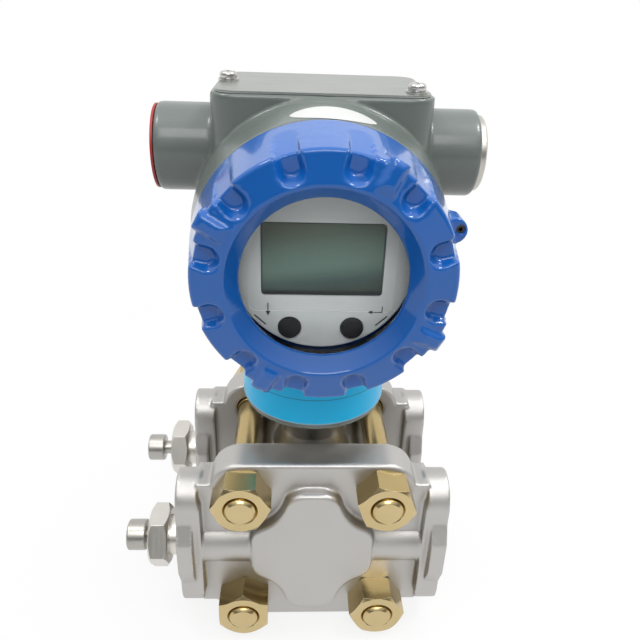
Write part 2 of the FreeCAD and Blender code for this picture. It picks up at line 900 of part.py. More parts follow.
def neck_label():
    """A film band round the front of the collar, open at the back."""
    body = start("neck_label", 0, 0, size.cap_axis_height - size.collar_foot + size.label_lift)
    inner = size.collar_radius + size.thread_clearance
    outer = inner + size.label_thickness
    angle = math.radians(size.label_half_angle.value)
    side, back = math.sin(angle), -math.cos(angle)
    sketch = new_sketch(body)
    outline(sketch, [
        (inner * side, inner * back),
        (outer * side, outer * back),
        (-outer * side, outer * back, 0, -outer),
        (-inner * side, inner * back),
    ])
    pad(body, sketch, size.label_height)
    sketch = new_sketch(body)
    circle(sketch, 0, 0, inner)
    pocket(body, sketch, backward=True)


# Caps, window and seals.

def cap_outside(body, depth, inside):
    """The turned ring of a cap, with the corners of its inside given from the skirt to the axis."""
    rear = size.cap_rear_radius
    front = size.cap_front_radius
    edge = depth - (size.cap_depth - size.cap_edge_depth)
    turn = size.cap_edge_rounding
    slope = size.edge_break
    turned(body, [
        (size.skirt_inner, -size.skirt_length),
        (SKIRT_RADIUS - slope, -size.skirt_length),
        (SKIRT_RADIUS, slope - size.skirt_length),
        (SKIRT_RADIUS, 0),
        (rear - slope, 0),
        (rear, slope),
        (front, edge),
        (front - turn, edge + turn, front - turn * 0.25, edge + turn * 0.75),
        (size.bevel_radius, depth),
    ] + inside)
    floor = SKIRT_RADIUS - size.seal_section_radius * 2 - size.seal_play
    lower = -size.seal_groove_place - size.seal_section_radius - size.seal_play
    upper = -size.seal_groove_place + size.seal_section_radius + size.seal_play
    rectangle_cut = [(floor, lower), (SKIRT_RADIUS + 1, lower), (SKIRT_RADIUS + 1, upper), (floor, upper)]
    groove(body, rectangle_cut)


def cap_grips(body, depth):
    """Twelve scallops with flutes, four wrench lugs and the lock ear."""
    outside = size.lock_ear_radius + 1
    edge = depth - (size.cap_depth - size.cap_edge_depth)
    grip = 15 + size.grip_turn.value
    sketch = new_sketch(body, height=depth)
    slot_in_ring(sketch, size.scallop_width / 2, size.scallop_end_radius, outside, math.radians(grip))
    scallop = pocket(body, sketch, size.scallop_cut)
    bind(scallop, "TaperAngle", -size.scallop_draft)
    sketch = new_sketch(body, "XZ_Plane")
    sketch.AttachmentOffset = FreeCAD.Placement(
        FreeCAD.Vector(), FreeCAD.Rotation(FreeCAD.Vector(0, 1, 0), 90 - grip))
    floor = size.cap_front_radius - size.flute_depth
    outline(sketch, [
        (floor, depth + 1),
        (floor, edge),
        (size.cap_rear_radius, size.flute_start),
        (outside, size.flute_start),
        (outside, depth + 1),
    ])
    flute = pocket(body, sketch, size.flute_width, middle=True)
    around(body, [scallop, flute], 12)

    # A lug is a bar with sloped flanks that lies along the bevel and stands out past the edge.
    fall = size.cap_depth - size.cap_edge_depth - size.cap_edge_rounding
    run = size.cap_front_radius - size.cap_edge_rounding - size.bevel_radius
    slope = fall / run
    tilt = math.degrees(math.atan(slope.value))
    turn = math.radians(30 + size.grip_turn.value)
    half = size.lug_width / 2
    foot = half + size.lug_rise
    sketch = new_sketch(body, height=bevel_height(depth, slope, size.lug_outer_radius))
    sketch.AttachmentOffset = FreeCAD.Placement(
        FreeCAD.Vector(),
        FreeCAD.Rotation(FreeCAD.Vector(0, 0, 1), -math.degrees(turn)).multiply(
            FreeCAD.Rotation(FreeCAD.Vector(1, 0, 0), 90 - tilt)))
    bind(sketch, "AttachmentOffset.Base.x", size.lug_outer_radius * math.sin(turn))
    bind(sketch, "AttachmentOffset.Base.y", size.lug_outer_radius * math.cos(turn))
    outline(sketch, [
        (-foot, -size.lug_root),
        (foot, -size.lug_root),
        (foot, 0),
        (half, size.lug_rise),
        (-half, size.lug_rise),
        (-foot, 0),
    ])
    lug = pad(body, sketch, size.lug_outer_radius - size.lug_inner_radius)
    around(body, [lug], 4)
    inner = size.lug_inner_radius
    ramp_end = inner + size.lug_ramp
    high = depth + size.lug_rise + 1
    groove(body, [
        (inner - 1, bevel_height(depth, slope, inner) + size.lug_foot),
        (inner, bevel_height(depth, slope, inner) + size.lug_foot),
        (ramp_end, bevel_height(depth, slope, ramp_end) + size.lug_rise),
        (ramp_end, high),
        (inner - 1, high),
    ])
    chamfer_start = size.lug_outer_radius - size.lug_end_chamfer
    chamfer_top = bevel_height(depth, slope, chamfer_start) + size.lug_rise
    groove(body, [
        (chamfer_start, chamfer_top),
        (outside, chamfer_top - (outside - chamfer_start)),
        (outside, high),
        (chamfer_start, high),
    ])

    half_ear = size.lock_ear_width / 2
    root = size.cap_rear_radius - 3
    sketch = new_sketch(body)
    outline(sketch, [
        laid(root, -half_ear),
        laid(size.lock_ear_radius - half_ear, -half_ear),
        laid(size.lock_ear_radius - half_ear, half_ear) + laid(size.lock_ear_radius, 0),
        laid(root, half_ear),
    ])
    pad(body, sketch, size.lock_ear_depth)
    sketch = new_sketch(body)
    circle(sketch, *laid(LOCK_SCREW_RAY, 0), size.lock_screw_radius + size.thread_clearance)
    pocket(body, sketch, size.lock_ear_depth, backward=True)


def bevel_height(depth, slope, radius):
    """The height of the front bevel, or of its cone carried on, at a radius."""
    return depth - (radius - size.bevel_radius) * slope


def swung(x, y, angle):
    """A point turned clockwise about the axis, from the top."""
    return (x * math.cos(angle) + y * math.sin(angle), y * math.cos(angle) - x * math.sin(angle))


def laid(along, aside):
    """A point along the lock ear's ray, which rises a little from +X, and aside from it."""
    angle = math.radians(size.lock_ear_angle.value)
    x = along * math.cos(angle) - aside * math.sin(angle)
    y = along * math.sin(angle) + aside * math.cos(angle)
    return (x, y)


def slot_in_ring(sketch, half, inner, outer, angle):
    """A slot with a round inner end that opens outwards, turned from the top by the angle."""
    middle = inner + half
    outline(sketch, [
        swung(half, outer, angle),
        swung(-half, outer, angle),
        swung(-half, middle, angle),
        swung(half, middle, angle) + swung(0, inner, angle),
    ])


def front_cap():
    body = start("front_cap", 0, -CAP_REAR, size.cap_axis_height, "front")
    depth = size.cap_depth
    seat = size.glass_radius + size.glass_play
    cap_outside(body, depth, [
        (size.window_radius, size.window_depth),
        (size.window_radius, size.lip_depth),
        (seat, size.lip_depth),
        (seat, RETAINER_BACK - 1),
        (size.skirt_inner, RETAINER_BACK - 3),
    ])
    cap_grips(body, depth)


def rear_cap():
    body = start("rear_cap", 0, size.barrel_rear + size.seat_gap, size.cap_axis_height, "back")
    depth = size.blank_cap_depth
    inner = depth - size.blank_cap_wall
    face = depth - size.blank_cap_recess
    cap_outside(body, depth, [
        (size.bevel_radius - 2, face),
        (0, face),
        (0, inner),
        (size.bevel_radius, inner),
        (size.skirt_inner, inner - 3),
    ])
    cap_grips(body, depth)


def cap_seal(label, y, facing):
    """A rubber ring in the groove of a cap's skirt."""
    body = start(label, 0, y, size.cap_axis_height, facing)
    section = size.seal_section_radius
    sketch = new_sketch(body, "XZ_Plane")
    circle(sketch, SKIRT_RADIUS - section - size.thread_clearance, -size.seal_groove_place, section)
    ring = body.newObject("PartDesign::Revolution", f"{label}_ring")
    ring.Profile = sketch
    ring.ReferenceAxis = (sketch, ["V_Axis"])
    ring.Angle = 360
    body.Tip = ring


def lock_screw(label, y, facing):
    """A small socket screw in a cap's lock ear."""
    body = start(label, 0, y, size.cap_axis_height, facing)
    place = laid(LOCK_SCREW_RAY, 0)
    sink = size.lock_screw_sink
    sketch = new_sketch(body, height=sink)
    circle(sketch, *place, size.lock_screw_radius)
    pad(body, sketch, size.lock_ear_depth - sink * 2)
    sketch = new_sketch(body, height=size.lock_ear_depth - sink)
    hexagon(sketch, size.lock_screw_radius, *place)
    pocket(body, sketch, size.lock_screw_radius)


def cap_ring(label, inner, outer, bottom, top):
    """A plain ring or disc that lies inside the front cap."""
    body = start(label, 0, -CAP_REAR, size.cap_axis_height, "front")
    turned(body, [(inner, bottom), (outer, bottom), (outer, top), (inner, top)])


# Display in the front chamber.

def display_bezel():
    """A moulded disc with a stepped frame for the screen and two holes for the buttons."""
    body = start("display_bezel", 0, -CAP_REAR, size.cap_axis_height, "front")
    front = size.display_depth
    frame = rectangle_about(size.frame_width, size.frame_height, size.screen_lift - size.frame_drop)
    turned(body, [
        (0, front - size.bezel_thickness),
        (size.bezel_radius, front - size.bezel_thickness),
        (size.bezel_radius, front - size.edge_break),
        (size.bezel_radius - size.edge_break, front),
        (0, front),
    ])
    sketch = new_sketch(body, height=front)
    rounded_rectangle(sketch, *frame, size.frame_corner)
    pocket(body, sketch, size.frame_sink)
    sketch = new_sketch(body, height=front)
    rectangle(sketch, *rectangle_about(size.screen_width, size.screen_height, size.screen_lift))
    pocket(body, sketch)
    sketch = new_sketch(body, height=front)
    hole = size.button_radius + size.button_clearance
    for side in (-1, 1):
        circle(sketch, side * size.button_spacing / 2, -size.button_drop, hole)
    pocket(body, sketch)


def display_screen():
    """The liquid crystal panel, a little behind the bezel's face."""
    body = start("display_screen", 0, -CAP_REAR, size.cap_axis_height, "front")
    sketch = new_sketch(body, height=size.display_depth - size.frame_sink - size.screen_sink)
    width = size.screen_width - size.screen_play * 2
    height = size.screen_height - size.screen_play * 2
    rectangle(sketch, *rectangle_about(width, height, size.screen_lift))
    pad(body, sketch, size.bezel_thickness - size.frame_sink - size.screen_sink, backward=True)


def display_board():
    """The round circuit board behind the bezel."""
    body = start("display_board", 0, -CAP_REAR, size.cap_axis_height, "front")
    top = size.display_depth - size.bezel_thickness
    turned(body, [
        (0, top - size.board_thickness),
        (size.bezel_radius, top - size.board_thickness),
        (size.bezel_radius, top),
        (0, top),
    ])


def display_button(label, side):
    """A round push button in the bezel's hole, clear of the board by its travel."""
    height = size.cap_axis_height - size.button_drop
    body = start(label, side * size.button_spacing / 2, -CAP_REAR, height, "front")
    front = size.display_depth + size.button_rise
    back = size.display_depth - size.bezel_thickness + size.button_travel + size.button_stop
    radius = size.button_radius
    turned(body, [
        (0, back),
        (radius, back),
        (radius, front - size.edge_break),
        (radius - size.edge_break, front),
        (0, front),
    ])


def electronics_module():
    """The potted electronics in the front chamber, with a socket for the display."""
    body = start("electronics_module", 0, -size.wall_front, size.cap_axis_height, "front")
    length = size.module_length
    turned(body, [
        (0, 0),
        (size.module_radius - 1, 0),
        (size.module_radius, 1),
        (size.module_radius, length - 1),
        (size.module_radius - 1, length),
        (0, length),
    ])
    sketch = new_sketch(body, height=length)
    rectangle(sketch, *rectangle_about(size.socket_width, size.socket_height))
    board_back = size.display_depth - size.bezel_thickness - size.board_thickness
    pad(body, sketch, CAP_REAR - size.wall_front + board_back - length)


# Rear chamber.

def terminal_block():
    """A moulded block with three wells for the terminal screws."""
    body = start("terminal_block", 0, size.wall_rear, size.cap_axis_height, "back")
    sketch = new_sketch(body)
    circle(sketch, 0, 0, size.block_radius)
    pad(body, sketch, size.block_thickness)
    sketch = new_sketch(body, height=size.block_thickness)
    rectangle(sketch, -size.block_radius, BLOCK_SHELF, size.block_radius, size.block_radius + 1)
    pocket(body, sketch, size.block_thickness)
    sketch = new_sketch(body, height=size.block_thickness)
    for side in (-1, 0, 1):
        well = size.terminal_radius + size.terminal_well_play
        circle(sketch, side * size.terminal_pitch, -size.block_drop, well)
    pocket(body, sketch, size.block_thickness / 2)


def terminal_screw(label, side):
    """A pan head terminal screw at the floor of its well."""
    body = start(label, -side * size.terminal_pitch, size.wall_rear + size.block_thickness / 2,
                 size.cap_axis_height - size.block_drop, "back")
    radius = size.terminal_radius
    height = size.terminal_head_height
    turned(body, [
        (0, 0),
        (radius, 0),
        (radius, height - size.edge_break),
        (radius - size.edge_break, height),
        (0, height),
    ])
    sketch = new_sketch(body, height=height)
    rectangle(sketch, *rectangle_about(radius * 2, size.terminal_slot))
    pocket(body, sketch, height / 2)


# Name plate and plugs.

def name_plate():
    body = start("name_plate", 0, 0, PLATE_FOOT)
    half = size.name_plate_width / 2
    sketch = new_sketch(body)
    front = size.name_plate_margin - size.turret_front
    rear = size.turret_rear - size.name_plate_margin
    rounded_rectangle(sketch, -half, front, half, rear, size.name_plate_corner)
    pad(body, sketch, size.name_plate_thickness)
    sketch = new_sketch(body)
    for x, y in PLATE_SCREWS.values():
        circle(sketch, x, y, size.plate_screw_radius + size.thread_clearance)
    pocket(body, sketch, backward=True)


def plate_washer(label, x, y):
    body = start(label, x, y, PLATE_FOOT + size.name_plate_thickness)
    hole = size.plate_screw_radius + size.thread_clearance
    turned(body, [
        (hole, 0),
        (size.washer_radius, 0),
        (size.washer_radius, size.washer_thickness),
        (hole, size.washer_thickness),
    ])


def plate_screw(label, x, y):
    """A pan head screw with a cross recess."""
    body = start(label, x, y, PLATE_FOOT + size.name_plate_thickness + size.washer_thickness)
    head = size.plate_screw_head_radius
    height = size.plate_screw_head_height
    shank = size.plate_screw_radius
    hole_depth = size.plate_screw_length + size.name_plate_thickness + size.washer_thickness
    depth = hole_depth - size.edge_break
    turned(body, [
        (0, -depth),
        (shank, -depth),
        (shank, 0),
        (head, 0),
        (head, height * 0.4),
        (head * 0.64, height, head * 0.9, height * 0.8),
        (0, height),
    ])
    sketch = new_sketch(body, height=height)
    cross(sketch, head * 0.55, head * 0.13)
    pocket(body, sketch, height * 0.6)


def conduit_plug():
    """A screwed plug with a round flange and a hexagon socket, in the right conduit entry."""
    body = start("conduit_plug", size.conduit_right, size.conduit_y,
                 size.cap_axis_height + size.conduit_height, "right")
    thread = size.conduit_bore_radius - size.thread_clearance
    rise = size.metal_plug_rise
    turned(body, [
        (0, -size.conduit_plug_length),
        (thread - 1, -size.conduit_plug_length),
        (thread, 1 - size.conduit_plug_length),
        (thread, 0),
        (size.metal_plug_radius, 0),
        (size.metal_plug_radius, rise - size.edge_break),
        (size.metal_plug_radius - size.edge_break, rise),
        (0, rise),
    ])
    sketch = new_sketch(body, height=rise)
    hexagon(sketch, size.metal_plug_socket)
    pocket(body, sketch, size.metal_plug_socket * 0.7)


def dust_plug():
    """A moulded cup with a thin flange, pushed into the left conduit entry."""
    body = start("dust_plug", -size.conduit_left, size.conduit_y,
                 size.cap_axis_height + size.conduit_height, "left")
    thread = size.conduit_bore_radius - size.thread_clearance
    rise = size.dust_plug_rise
    wall = size.dust_plug_wall
    end = -size.conduit_plug_length
    turned(body, [
        (0, end),
        (thread - size.edge_break, end),
        (thread, end + size.edge_break),
        (thread, 0),
        (size.dust_plug_radius, 0),
        (size.dust_plug_radius, rise),
        (thread - wall, rise),
        (thread - wall, end + wall),
        (0, end + wall),
    ])


# All the pieces, in the order in which they are put together.
process_head("process_head_front", "front", -1)
process_head("process_head_rear", "back", 1)
head_gasket("head_gasket_front", "front", -1)
head_gasket("head_gasket_rear", "back", 1)
meter_body()
diaphragm("isolating_diaphragm_front", "front", -1)
diaphragm("isolating_diaphragm_rear", "back", 1)
for place, (across_x, across_z, nut_turn) in BOLTS.items():
    bolt_x = across_x * size.bolt_spacing_x / 2
    bolt_z = across_z * size.bolt_spacing_z / 2
    head_bolt(f"head_bolt_{place}", bolt_x, bolt_z)
    head_nut(f"head_nut_{place}", bolt_x, bolt_z, nut_turn)
vent_plug("vent_plug_front", -1)
vent_plug("vent_plug_rear", 1)
vent_stem("vent_stem_front", -1, 0)
vent_stem("vent_stem_rear", 1, size.rear_stem_stand_out)
housing()
neck_set_screw()
neck_label()
front_cap()
cap_seal("front_cap_seal", -CAP_REAR, "front")
lock_screw("front_lock_screw", -CAP_REAR, "front")
cap_ring("window_gasket", size.glass_gasket_inner, size.glass_radius, GASKET_BACK, size.lip_depth)
cap_ring("window_glass", 0, size.glass_radius, GLASS_BACK, GASKET_BACK)
cap_ring("window_retainer", size.retainer_inner, size.glass_radius, RETAINER_BACK, GLASS_BACK)
rear_cap()
cap_seal("rear_cap_seal", size.barrel_rear + size.seat_gap, "back")
lock_screw("rear_lock_screw", size.barrel_rear + size.seat_gap, "back")
display_bezel()
display_screen()
display_board()
display_button("menu_button", -1)
display_button("enter_button", 1)
electronics_module()
terminal_block()
for place, side in (("left", -1), ("middle", 0), ("right", 1)):
    terminal_screw(f"terminal_screw_{place}", side)
name_plate()
for place, (x, y) in PLATE_SCREWS.items():
    plate_washer(f"plate_washer_{place}", x, y)
    plate_screw(f"plate_screw_{place}", x, y)
conduit_plug()
dust_plug()
document.recompute()

for thing in document.Objects:
    if "Invalid" in thing.State or "Error" in thing.State:
        raise RuntimeError(f"{thing.Name} failed: {thing.State}")
    if thing.TypeId in ("PartDesign::Pocket", "PartDesign::Groove"):
        if thing.Shape.Volume >= thing.BaseFeature.Shape.Volume - 1e-6:
            raise RuntimeError(f"{thing.Name} cuts nothing")
os.makedirs("parts", exist_ok=True)
for piece in pieces:
    if piece.Shape.isNull() or not piece.Shape.isValid():
        raise RuntimeError(f"{piece.Label} has no valid shape")
    piece.Shape.exportStep(f"parts/{piece.Label}.step")
    print(piece.Label, len(piece.Shape.Solids), round(piece.Shape.Volume))
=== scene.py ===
import math

import bpy
from mathutils import Matrix, Vector


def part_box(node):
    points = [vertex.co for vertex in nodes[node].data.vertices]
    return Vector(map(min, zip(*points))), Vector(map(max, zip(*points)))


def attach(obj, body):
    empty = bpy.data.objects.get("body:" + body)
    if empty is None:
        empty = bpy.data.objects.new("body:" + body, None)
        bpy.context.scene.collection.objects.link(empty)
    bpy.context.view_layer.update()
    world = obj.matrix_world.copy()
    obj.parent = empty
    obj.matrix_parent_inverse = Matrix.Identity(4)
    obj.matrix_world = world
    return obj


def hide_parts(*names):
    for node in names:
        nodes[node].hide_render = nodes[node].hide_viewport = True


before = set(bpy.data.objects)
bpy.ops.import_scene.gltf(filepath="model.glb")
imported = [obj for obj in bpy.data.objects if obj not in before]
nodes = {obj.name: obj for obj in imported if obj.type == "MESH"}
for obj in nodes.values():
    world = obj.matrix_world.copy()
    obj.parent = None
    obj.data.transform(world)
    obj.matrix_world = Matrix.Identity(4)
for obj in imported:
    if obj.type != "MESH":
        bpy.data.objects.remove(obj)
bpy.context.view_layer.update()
bpy.context.scene.view_settings.view_transform = "Standard"


# Process heads. Two investment castings in stainless steel, bead blasted all over, so that every
# edge is a little soft and the skin is fine grained and satin. Four bolts clamp the two together.

MM = 0.001


def selected_alone(piece):
    """Makes one object the only selected one, and the active one."""
    bpy.ops.object.select_all(action="DESELECT")
    piece.select_set(True)
    bpy.context.view_layer.objects.active = piece


def copied(node, name):
    """A merged copy of a CAD node's mesh, as a new object."""
    piece = bpy.data.objects.new(name, nodes[node].data.copy())
    bpy.context.scene.collection.objects.link(piece)
    piece.data.materials.clear()
    selected_alone(piece)
    bpy.ops.object.mode_set(mode="EDIT")
    bpy.ops.mesh.select_all(action="SELECT")
    bpy.ops.mesh.remove_doubles(threshold=0.005 * MM)
    bpy.ops.object.mode_set(mode="OBJECT")
    if piece.data.has_custom_normals:
        bpy.ops.mesh.customdata_custom_splitnormals_clear()
    return piece


def applied(piece, kind, **settings):
    """Adds one modifier to a piece and applies it."""
    selected_alone(piece)
    modifier = piece.modifiers.new(kind.title(), kind)
    for setting, value in settings.items():
        setattr(modifier, setting, value)
    bpy.ops.object.modifier_apply(modifier=modifier.name)


def seated(piece, material, body, slot, *replaced):
    """Gives a finished piece its material and body, and the nodes that it stands for. The slot is
    not used.
    """
    piece.data.materials.clear()
    piece.data.materials.append(material)
    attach(piece, body)
    if replaced:
        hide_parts(*replaced)


def soft_casting(node, name, voxel, passes):
    """A copy of a CAD solid with the soft edges of a casting."""
    pattern = copied(node, "pattern")
    piece = copied(node, name)
    applied(piece, "REMESH", mode="VOXEL", voxel_size=voxel, use_smooth_shade=True)
    applied(piece, "SHRINKWRAP", target=pattern, wrap_method="NEAREST_SURFACEPOINT")
    applied(piece, "SMOOTH", factor=0.5, iterations=passes)
    bpy.data.objects.remove(pattern)
    selected_alone(piece)
    bpy.ops.object.shade_smooth()
    return piece


def new_group(name, inputs, outputs):
    """A shader node group with its sockets and its two end nodes."""
    group = bpy.data.node_groups.new(name, "ShaderNodeTree")
    for label, kind, value in inputs:
        socket = group.interface.new_socket(name=label, in_out="INPUT", socket_type=kind)
        socket.default_value = value
    for label, kind in outputs:
        group.interface.new_socket(name=label, in_out="OUTPUT", socket_type=kind)
    ends = (group.nodes.new("NodeGroupInput"), group.nodes.new("NodeGroupOutput"))
    return group, ends


def node_in(tree, kind, links=None, **settings):
    """Adds a node to a tree, sets its properties and sockets, and links its inputs."""
    node = tree.nodes.new(kind)
    for setting, value in settings.items():
        setattr(node, setting, value)
    for socket, source in (links or {}).items():
        if isinstance(source, bpy.types.NodeSocket):
            tree.links.new(source, node.inputs[socket])
        else:
            node.inputs[socket].default_value = source
    return node


# Fine grain: two sizes of noise, for the skin of a casting or a moulding.
grain, (grain_in, grain_out) = new_group(
    "Fine grain",
    [("Frequency", "NodeSocketFloat", 2500.0), ("Broad frequency", "NodeSocketFloat", 60.0)],
    [("Fine", "NodeSocketFloat"), ("Broad", "NodeSocketFloat")],
)
place = node_in(grain, "ShaderNodeTexCoord")
fine = node_in(grain, "ShaderNodeTexNoise", {
    "Vector": place.outputs["Object"],
    "Scale": grain_in.outputs["Frequency"],
    "Detail": 3.0,
    "Roughness": 0.6,
})
broad = node_in(grain, "ShaderNodeTexNoise", {
    "Vector": place.outputs["Object"],
    "Scale": grain_in.outputs["Broad frequency"],
    "Detail": 4.0,
    "Roughness": 0.55,
})
grain.links.new(fine.outputs["Fac"], grain_out.inputs["Fine"])
grain.links.new(broad.outputs["Fac"], grain_out.inputs["Broad"])

# Edge wear and sheen: a mask that is light along outer edges, broken up by noise. It gives real wear
# on the metals and a painted highlight on the blue enamel. The product of the softened normal and
# the true one falls below 1 where an edge is near.
wear_and_sheen, (wear_and_sheen_in, wear_and_sheen_out) = new_group(
    "Edge wear and sheen",
    [("Width", "NodeSocketFloat", 0.6 * MM), ("Amount", "NodeSocketFloat", 1.0)],
    [("Mask", "NodeSocketFloat")],
)
softened = node_in(wear_and_sheen, "ShaderNodeBevel", {"Radius": wear_and_sheen_in.outputs["Width"]}, samples=6)
geometry = node_in(wear_and_sheen, "ShaderNodeNewGeometry")
agreement = node_in(wear_and_sheen, "ShaderNodeVectorMath", {
    0: softened.outputs["Normal"],
    1: geometry.outputs["Normal"],
}, operation="DOT_PRODUCT")
bent = node_in(wear_and_sheen, "ShaderNodeMapRange", {
    "Value": agreement.outputs["Value"],
    "From Min": 0.995,
    "From Max": 0.86,
    "To Min": 0.0,
    "To Max": 1.0,
})
place = node_in(wear_and_sheen, "ShaderNodeTexCoord")
breaks = node_in(wear_and_sheen, "ShaderNodeTexNoise", {
    "Vector": place.outputs["Object"],
    "Scale": 420.0,
    "Detail": 4.0,
})
patchy = node_in(wear_and_sheen, "ShaderNodeMapRange", {
    "Value": breaks.outputs["Fac"],
    "From Min": 0.38,
    "From Max": 0.62,
})
both = node_in(wear_and_sheen, "ShaderNodeMath", {
    0: bent.outputs["Result"],
    1: patchy.outputs["Result"],
}, operation="MULTIPLY")
scaled = node_in(wear_and_sheen, "ShaderNodeMath", {
    0: both.outputs["Value"],
    1: wear_and_sheen_in.outputs["Amount"],
}, operation="MULTIPLY", use_clamp=True)
wear_and_sheen.links.new(scaled.outputs["Value"], wear_and_sheen_out.inputs["Mask"])

# Corner shade: a mask that is light where surfaces meet in a hollow, for painted shade in the
# colour.
corner_shade, (corner_shade_in, corner_shade_out) = new_group(
    "Corner shade",
    [("Reach", "NodeSocketFloat", 3 * MM), ("Amount", "NodeSocketFloat", 0.5)],
    [("Mask", "NodeSocketFloat")],
)
hollow = node_in(corner_shade, "ShaderNodeAmbientOcclusion", {
    "Distance": corner_shade_in.outputs["Reach"],
}, samples=6, only_local=True)
closed = node_in(corner_shade, "ShaderNodeMapRange", {
    "Value": hollow.outputs["AO"],
    "From Min": 0.9,
    "From Max": 0.35,
})
amount = node_in(corner_shade, "ShaderNodeMath", {
    0: closed.outputs["Result"],
    1: corner_shade_in.outputs["Amount"],
}, operation="MULTIPLY", use_clamp=True)
corner_shade.links.new(amount.outputs["Value"], corner_shade_out.inputs["Mask"])


def new_material(name, **sockets):
    """A material whose shader has these plain values."""
    material = bpy.data.materials.new(name)
    material.use_nodes = True
    tree = material.node_tree
    shader = tree.nodes["Principled BSDF"]
    for socket, value in sockets.items():
        shader.inputs[socket.replace("_", " ")].default_value = value
    return material, tree, shader


def grouped(tree, group, **values):
    """Places a node group in a material with its own values."""
    node = node_in(tree, "ShaderNodeGroup", node_tree=group)
    for socket, value in values.items():
        node.inputs[socket.replace("_", " ")].default_value = value
    return node


# The Mix node's colour sockets share their names with its other sockets, so they go by number.
MIX_FACTOR = 0
MIX_FIRST = 6
MIX_SECOND = 7
MIX_RESULT = 2


def mixed(tree, factor, first, second):
    """A colour mix of two colours or sockets."""
    mix = node_in(tree, "ShaderNodeMix", data_type="RGBA")
    for index, source in ((MIX_FACTOR, factor), (MIX_FIRST, first), (MIX_SECOND, second)):
        if isinstance(source, bpy.types.NodeSocket):
            tree.links.new(source, mix.inputs[index])
        else:
            mix.inputs[index].default_value = source
    return mix.outputs[MIX_RESULT]


def ranged(tree, source, low, high, start=0.3, end=0.7):
    """A value that runs from low to high as the source runs from start to end."""
    node = node_in(tree, "ShaderNodeMapRange", {
        "Value": source,
        "From Min": start,
        "From Max": end,
        "To Min": low,
        "To Max": high,
    })
    return node.outputs["Result"]


def bumped(tree, shader, height, strength, distance):
    """Feeds a height to the shader's normal."""
    bump = node_in(tree, "ShaderNodeBump", {
        "Height": height,
        "Strength": strength,
        "Distance": distance,
    })
    tree.links.new(bump.outputs["Normal"], shader.inputs["Normal"])


cast_steel, tree, shader = new_material("Cast stainless steel", Metallic=1.0)
skin = grouped(tree, grain, Frequency=2600.0, Broad_frequency=45.0)
edges = grouped(tree, wear_and_sheen, Width=0.9 * MM, Amount=0.5)
# Painted shade: within 8 mm of a hollow the steel's colour is darkened towards a deep grey.
painted_shade = grouped(tree, corner_shade, Reach=8 * MM, Amount=0.6)
tone = mixed(tree, skin.outputs["Broad"], (0.48, 0.465, 0.445, 1), (0.60, 0.585, 0.565, 1))
tone = mixed(tree, edges.outputs["Mask"], tone, (0.74, 0.73, 0.71, 1))
tone = mixed(tree, painted_shade.outputs["Mask"], tone, (0.20, 0.19, 0.17, 1))
tree.links.new(tone, shader.inputs["Base Color"])
tree.links.new(ranged(tree, skin.outputs["Broad"], 0.40, 0.52), shader.inputs["Roughness"])
bumped(tree, shader, skin.outputs["Fine"], strength=0.35, distance=0.06 * MM)

for side in ("front", "rear"):
    head = soft_casting(f"process_head_{side}", f"cast_head_{side}", voxel=0.65 * MM, passes=4)
    seated(head, cast_steel, "meter", "cast_steel", f"process_head_{side}")


# Head gaskets. Two flat rings of white filled plastic. Each lies in a groove of its head, and the
# bolts press it against the meter body.

def dressed(material, slot, *names):
    """Gives CAD nodes their material. The slot is not used."""
    for name in names:
        nodes[name].data.materials.clear()
        nodes[name].data.materials.append(material)


white_gasket, tree, shader = new_material("White gasket", Roughness=0.55)
skin = grouped(tree, grain, Frequency=1800.0, Broad_frequency=90.0)
tone = mixed(tree, skin.outputs["Broad"], (0.74, 0.73, 0.70, 1), (0.85, 0.84, 0.82, 1))
tree.links.new(tone, shader.inputs["Base Color"])
bumped(tree, shader, skin.outputs["Fine"], strength=0.2, distance=0.05 * MM)
dressed(white_gasket, "white_gasket", "head_gasket_front", "head_gasket_rear")


# Meter body. A stainless disc welded from two halves, with a turned and polished neck on which
# the housing turns. The thin waved diaphragms are welded into its two faces.

# Turning marks: fine lines round an axis, drawn by how fast the noise runs along each axis.
marks, (marks_in, marks_out) = new_group(
    "Turning marks",
    [("Frequency", "NodeSocketVector", (0.0, 0.0, 4000.0))],
    [("Height", "NodeSocketFloat")],
)
place = node_in(marks, "ShaderNodeTexCoord")
stretched = node_in(marks, "ShaderNodeVectorMath", {
    0: place.outputs["Object"],
    1: marks_in.outputs["Frequency"],
}, operation="MULTIPLY")
lines = node_in(marks, "ShaderNodeTexNoise", {
    "Vector": stretched.outputs["Vector"],
    "Scale": 1.0,
    "Detail": 2.0,
})
marks.links.new(lines.outputs["Fac"], marks_out.inputs["Height"])


def turned_steel(name, frequency, shade):
    """Bright turned stainless steel with its lines round one axis."""
    material, tree, shader = new_material(name, Metallic=1.0)
    skin = grouped(tree, grain, Frequency=900.0, Broad_frequency=120.0)
    rings = grouped(tree, marks, Frequency=frequency)
    edges = grouped(tree, wear_and_sheen, Width=0.4 * MM, Amount=0.6)
    dark = (shade * 0.82, shade * 0.79, shade * 0.72, 1)
    tone = mixed(tree, skin.outputs["Broad"], dark, (shade, shade * 0.97, shade * 0.91, 1))
    tone = mixed(tree, edges.outputs["Mask"], tone, (0.85, 0.84, 0.82, 1))
    tree.links.new(tone, shader.inputs["Base Color"])
    tree.links.new(ranged(tree, rings.outputs["Height"], 0.28, 0.38), shader.inputs["Roughness"])
    bumped(tree, shader, rings.outputs["Height"], strength=0.25, distance=0.03 * MM)
    return material


neck_steel = turned_steel("Polished neck steel", frequency=(60.0, 60.0, 5200.0), shade=0.46)
dressed(neck_steel, "turned_steel", "meter_body")
diaphragm_steel = turned_steel("Diaphragm steel", frequency=(400.0, 400.0, 400.0), shade=0.66)
dressed(diaphragm_steel, "turned_steel", "isolating_diaphragm_front", "isolating_diaphragm_rear")


# Head bolts and nuts. Carbon steel with yellow chromate over zinc: brassy, with olive and brown
# bloom on the sides of the hexagons, worn pale along the edges by the spanner.

